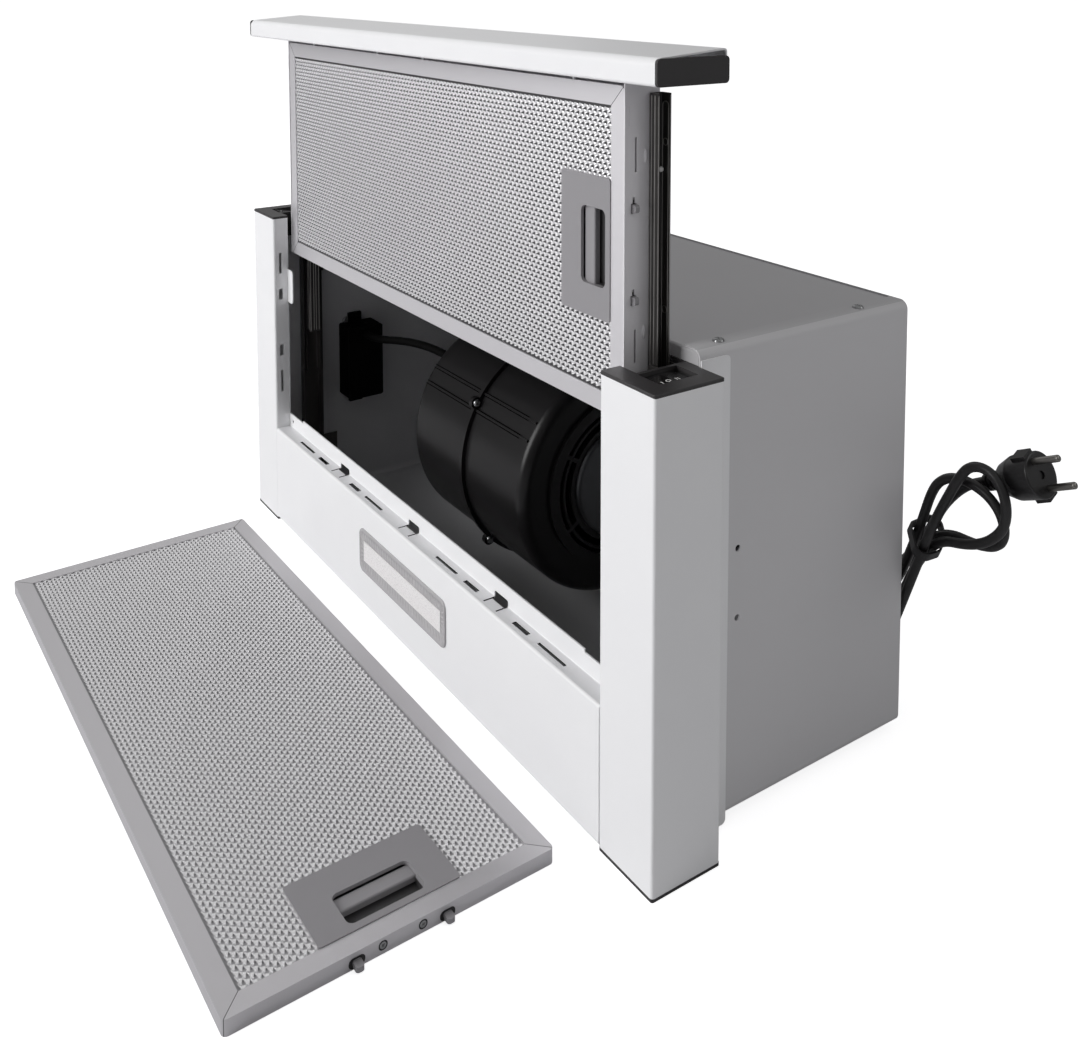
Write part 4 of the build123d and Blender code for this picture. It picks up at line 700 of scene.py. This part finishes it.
def expanded_mesh(front):
    """Strands of slit and stretched sheet, on the filter's front or back.

    A strand's middle line is a cosine of the mesh's pitch along X, and the next strand's is half
    a pitch on, so they meet in bonds and leave lens-shaped holes.  Across a strand the depth is a
    sine, times the same cosine, so the metal rises to each bond and falls to each hole."""
    half_x, half_z = WINDOW_HALF
    per_pitch, lines = (6, 4) if front else (4, 3)
    x = np.linspace(-half_x, half_x, int(2 * half_x / MESH_PITCH_X * per_pitch) + 1)
    rows = int(2 * half_z / MESH_PITCH_Z)
    row = np.arange(rows)[:, None, None]
    phase = 2 * math.pi * x[None, None] / MESH_PITCH_X + math.pi * row
    across = np.linspace(-1, 1, lines)[None, :, None]
    middle = (row + 0.5 - rows / 2) * MESH_PITCH_Z
    swing = (MESH_PITCH_Z / 2 - STRAND_HALF) * np.cos(phase)
    z = middle + swing + STRAND_HALF * across
    y = MESH_DEPTH - STRAND_RISE * np.sin(across * math.pi / 2) * np.cos(phase)
    if not front:
        y = FILTER_DEPTH - y
    grid = np.stack([x[None, None] + 0 * z, y, np.clip(z, -half_z, half_z)], -1)
    index = np.arange(grid[..., 0].size).reshape(grid.shape[:3])
    low, high = index[:, :-1], index[:, 1:]
    faces = np.stack([low[..., :-1], low[..., 1:], high[..., 1:], high[..., :-1]], -1)
    centre = (grid[:, :-1, :-1] + grid[:, 1:, 1:]) / 2
    beside_handle = np.abs(centre[..., 2]) > HANDLE_HALF_Z - 1
    faces = faces[(centre[..., 0] < HANDLE_START_X + 1) | beside_handle]
    if not front:
        faces = faces[:, ::-1]
    used, faces = np.unique(faces, return_inverse=True)
    return grid.reshape(-1, 3)[used], faces.reshape(-1, 4)


def own_place(tree, which):
    """A point's three coordinates in a filter's own place: along it, up it and into its depth."""
    at, turn, flat = FILTER_AT[which]
    place = add(tree, "ShaderNodeTexCoord")
    own = add(tree, "ShaderNodeMapping", [(0, place.outputs["Object"])],
              [("Location", [c * MM for c in at]), ("Rotation", (0, 0, turn))],
              vector_type="TEXTURE")
    parts = add(tree, "ShaderNodeSeparateXYZ", [(0, own.outputs[0])])
    up, depth = ("Y", "Z") if flat else ("Z", "Y")
    return parts.outputs["X"], parts.outputs[up], parts.outputs[depth]


def at_depth(tree, which, low, high):
    """One where a filter's own depth lies between two limits, otherwise none."""
    depth = own_place(tree, which)[2]
    flat = FILTER_AT[which][2]
    return between(tree, depth, -high, -low) if flat else between(tree, depth, low, high)


def mitred(name, which, sides, ends):
    """Anodised frame, its rails drawn lengthways, with a hairline at each mitre.

    Past the mitre, where a point is nearer to the filter's end than to its side, the rail runs the
    other way and takes the second colour, a painted sheen for its grain.  A hairline darkens where
    they are as near."""
    made = grained(name, sides, sides, 0.4, 0.5, 0.004, metallic=0.7, cloud_mm=90)
    tree = made.node_tree
    along, up = [add(tree, "ShaderNodeMath", [(0, way)], operation="ABSOLUTE").outputs[0]
                 for way in own_place(tree, which)[:2]]
    apart = add(tree, "ShaderNodeMath", [(0, along), (1, up)], operation="SUBTRACT").outputs[0]
    seam = FILTER_HALF[0] - FILTER_HALF[1]
    end_piece = add(tree, "ShaderNodeMath", [(0, apart)], [(1, seam * MM)],
                    operation="GREATER_THAN")
    tinted(tree, end_piece.outputs[0], ends)
    tinted(tree, between(tree, apart, seam - SEAM_HALF, seam + SEAM_HALF), "#454446")
    return made


def pocketed(name, which):
    """Grey ABS handle plate, finely eroded by the tool, with painted shade darkening its pocket in
    its depth.
    """
    made = grained(name, "#8E8C8F", "#939194", 0.42, 0.7, 0.010, IOR=1.53)
    tinted(made.node_tree, at_depth(made.node_tree, which, *POCKET_SHADE_DEPTHS), "#3A393A")
    return made


def rolled_strands(which, colour, glint):
    """Rolled aluminium strand, with a painted glint on the knuckles that stand furthest out."""
    made = grained(which + "_expanded_aluminium", colour, colour, 0.26, 0.5, 0.002, metallic=0.45)
    tinted(made.node_tree, at_depth(made.node_tree, which, -1.0, GLINT_DEPTH), glint)
    return made


def end_ring(y, z, half_y, half_z, hole_y, hole_z):
    """Flat ring on the frame's end, between two rounded outlines about one middle."""
    edges = [rounded_outline(*half, 0.9 * min(half), per_side=(2, 2), per_corner=8)
             for half in ((half_y, half_z), (hole_y, hole_z))]
    flat = np.stack(edges) + np.array([y, z])
    x = FILTER_HALF[0] + RING_PROUD + 0 * flat[..., 0]
    return np.stack([x, flat[..., 0], flat[..., 1]], -1)


BACK_PLATE_HALF = (29.0, 41.0)
BACK_PLATE_X = 217.0
BACK_PLATE_DEPTHS = (7.95, 8.35)
RING_PROUD = 0.06
SCREW_PROUD = 0.05
# On the frame's end: depth and height of a pin and of a screw, and the sizes of their rings of
# painted shade.
PIN_AT = (5.7, 26.7)
PIN_RING = (2.9, 4.7, 1.6, 2.75)
SCREW_AT = (4.3, 11.8)
SCREW_RING = (2.6, 2.6, 1.8, 1.8)


def latch_plate():
    """Plate that closes the filter behind its handle: a rounded outline, filled on both sides."""
    middle = np.array([BACK_PLATE_X, 0.0])
    outline = middle + rounded_outline(*BACK_PLATE_HALF, radius=2.0, per_side=(2, 2),
                                       per_corner=6)
    flat = np.stack([0 * outline + middle, outline, outline, 0 * outline + middle])
    depth = np.repeat(BACK_PLATE_DEPTHS, 2)[:, None] + 0 * flat[..., 0]
    return np.stack([flat[..., 0], depth, flat[..., 1]], -1)[::-1]


# Painted shade: flat dark rings on the frame's end round the pins and screws, where their holes
# and countersinks lie in shade.
dark_ring_shade = grained("painted_shade_rings", "#151415", "#1B1A1B", 0.5, 0.8, 0.01)
# Acetal latch, moulded in the handle's grey, with a little more gloss.
latch_grey = grained("grey_acetal", "#918F92", "#969497", 0.34, 0.8, 0.005, IOR=1.48)
# Colours of the strands and of the painted glints on their knuckles, of the frame's sides and
# ends, and of the layers behind the strands, painted dark as painted shade.  Each filter's colours
# are a lit or shaded copy of the same finish, painted for how the light falls on it, and the
# visor's layers take the deeper painted shade.
FILTER_FINISH = {
    "visor": (("#E4E3E5", "#F0EFF1"), ("#DAD8DB", "#DFDDE0"),
              grained("painted_shade_layers_deep", "#4A494B", "#3F3E40", 0.5, 0.9, 0.02, metallic=0.5)),
    "loose": (("#F2F1F3", "#FFFFFF"), ("#CFCDD0", "#D3D1D4"),
              grained("painted_shade_layers_light", "#A9A8AA", "#9C9B9D", 0.45, 0.9, 0.02, metallic=0.5)),
}

for which, body in (("visor", "visor"), ("loose", "loose_filter")):
    node = which + "_filter_"
    strand_colours, frame_colours, inner_layers = FILTER_FINISH[which]
    strand_metal = rolled_strands(which, *strand_colours)
    for front, face in ((True, "front"), (False, "back")):
        vertices, faces = expanded_mesh(front)
        piece(f"{which}_strands_{face}", seated(vertices, which), faces, strand_metal, body)
    dress(mitred(which + "_anodised_frame", which, *frame_colours), node + "frame")
    dress(inner_layers, node + "mesh")
    dress(pocketed(which + "_grey_abs", which), node + "handle")
    dress(latch_grey, node + "latch")
    dress(zinc, node + "springs")
    joined(which + "_latch_plate", [seated(latch_plate(), which)], body, black_abs)
    turn = FILTER_AT[which][1]
    screws_at = seated(np.array([(FILTER_HALF[0] + SCREW_PROUD, SCREW_AT[0], side * SCREW_AT[1])
                                 for side in (-1, 1)]), which) / MM
    heads = screw_heads(screws_at, (math.cos(turn), math.sin(turn), 0), radius=1.9, dome=0.2,
                        recess=1.0)
    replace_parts(joined(which + "_end_screws", heads, body, zinc), node + "screws")
    rings = [end_ring(depth, side * up, *size) for side in (-1, 1)
             for (depth, up), size in ((PIN_AT, PIN_RING), (SCREW_AT, SCREW_RING))]
    joined(which + "_end_shadows", [seated(grid, which) for grid in rings], body, dark_ring_shade)


# ---- rocker switches ----
# Polycarbonate rockers in deep black housings under the caps.  The marks are pad-printed: one
# stroke, a ring and two strokes on the speed switch, a stroke and a ring on the light switch.

# Polished polycarbonate, a hard narrow gloss; the housing is the same black left matt.
glossy_black = grained("rocker_polycarbonate", "#121112", "#151415", 0.2, 1.0, 0.003, IOR=1.58)
socket_black = grained("switch_housing", "#1C1B1B", "#201F1F", 0.5, 0.9, 0.01, IOR=1.53)
print_white = grained("pad_print", "#F4F3F1", "#EEEDEB", 0.5, 0.6, 0.0, IOR=1.5)
dress(glossy_black, "speed_rocker", "light_rocker")
dress(socket_black, "speed_switch_body", "light_switch_body")

ROCKER_PIVOT = (27.0, 278.5)     # in Y and Z
MARKS_OVER = 4.62                # the marks' height over the pivot at the rocker's middle
ROCKER_SLOPE = 1 / 12.7          # falling to both its ends
LIGHT_TILT = math.radians(-12)   # the light switch is off
SPEED_X = 280.4
LIGHT_X = 277.5
STROKE = (3.2, 0.7)
RING = (1.6, 0.6)


def stroke(x, y):
    """Printed stroke along X: a thin outline with round ends, drawn in to its middle line."""
    length, width = STROKE
    turn = np.linspace(0, 2 * math.pi, 32, endpoint=False)
    ends = np.sign(np.cos(turn)) * (length - width) / 2
    edge = np.stack([width / 2 * np.cos(turn) + ends, width / 2 * np.sin(turn)], 1)
    return np.array([x, y]) + edge * np.array([[[1.0, 1.0]], [[1.0, 0.0]]])


def ring(x, y):
    """Printed ring: the band between two circles."""
    radius, width = RING
    turn = np.linspace(0, 2 * math.pi, 40, endpoint=False)
    circle = np.stack([np.cos(turn), np.sin(turn)], 1)
    sizes = np.array([radius, radius - width])[:, None, None]
    return np.array([x, y]) + circle[None] * sizes


def printed(name, marks, body, tilt, side):
    """Marks laid on a rocker's two slopes, a hair over them, and turned with its tilt."""
    grids = []
    for mark in marks:
        x, y = mark[..., 0], mark[..., 1] - ROCKER_PIVOT[0]
        z = MARKS_OVER - np.abs(y) * ROCKER_SLOPE
        turned_y = y * math.cos(tilt) - z * math.sin(tilt)
        turned_z = y * math.sin(tilt) + z * math.cos(tilt)
        grid = np.stack([side * x, turned_y + ROCKER_PIVOT[0], turned_z + ROCKER_PIVOT[1]], -1)
        grids.append((grid if side > 0 else grid[:, ::-1]) * MM)
    joined(name, grids, body, print_white)


printed("speed_marks", [stroke(SPEED_X, 20.3), ring(SPEED_X, 24.6), stroke(SPEED_X, 30.4),
                        stroke(SPEED_X, 32.2)], "speed_rocker", 0.0, 1)
printed("light_marks", [stroke(LIGHT_X, 17.5), ring(LIGHT_X, 36.0)], "light_rocker", LIGHT_TILT,
        -1)


# ---- outlet ----
# Black moulded spigot for the duct, with two spring-shut flaps on an upright pin.
dress(black_abs, "duct_collar", "damper_flap_left", "damper_flap_right")
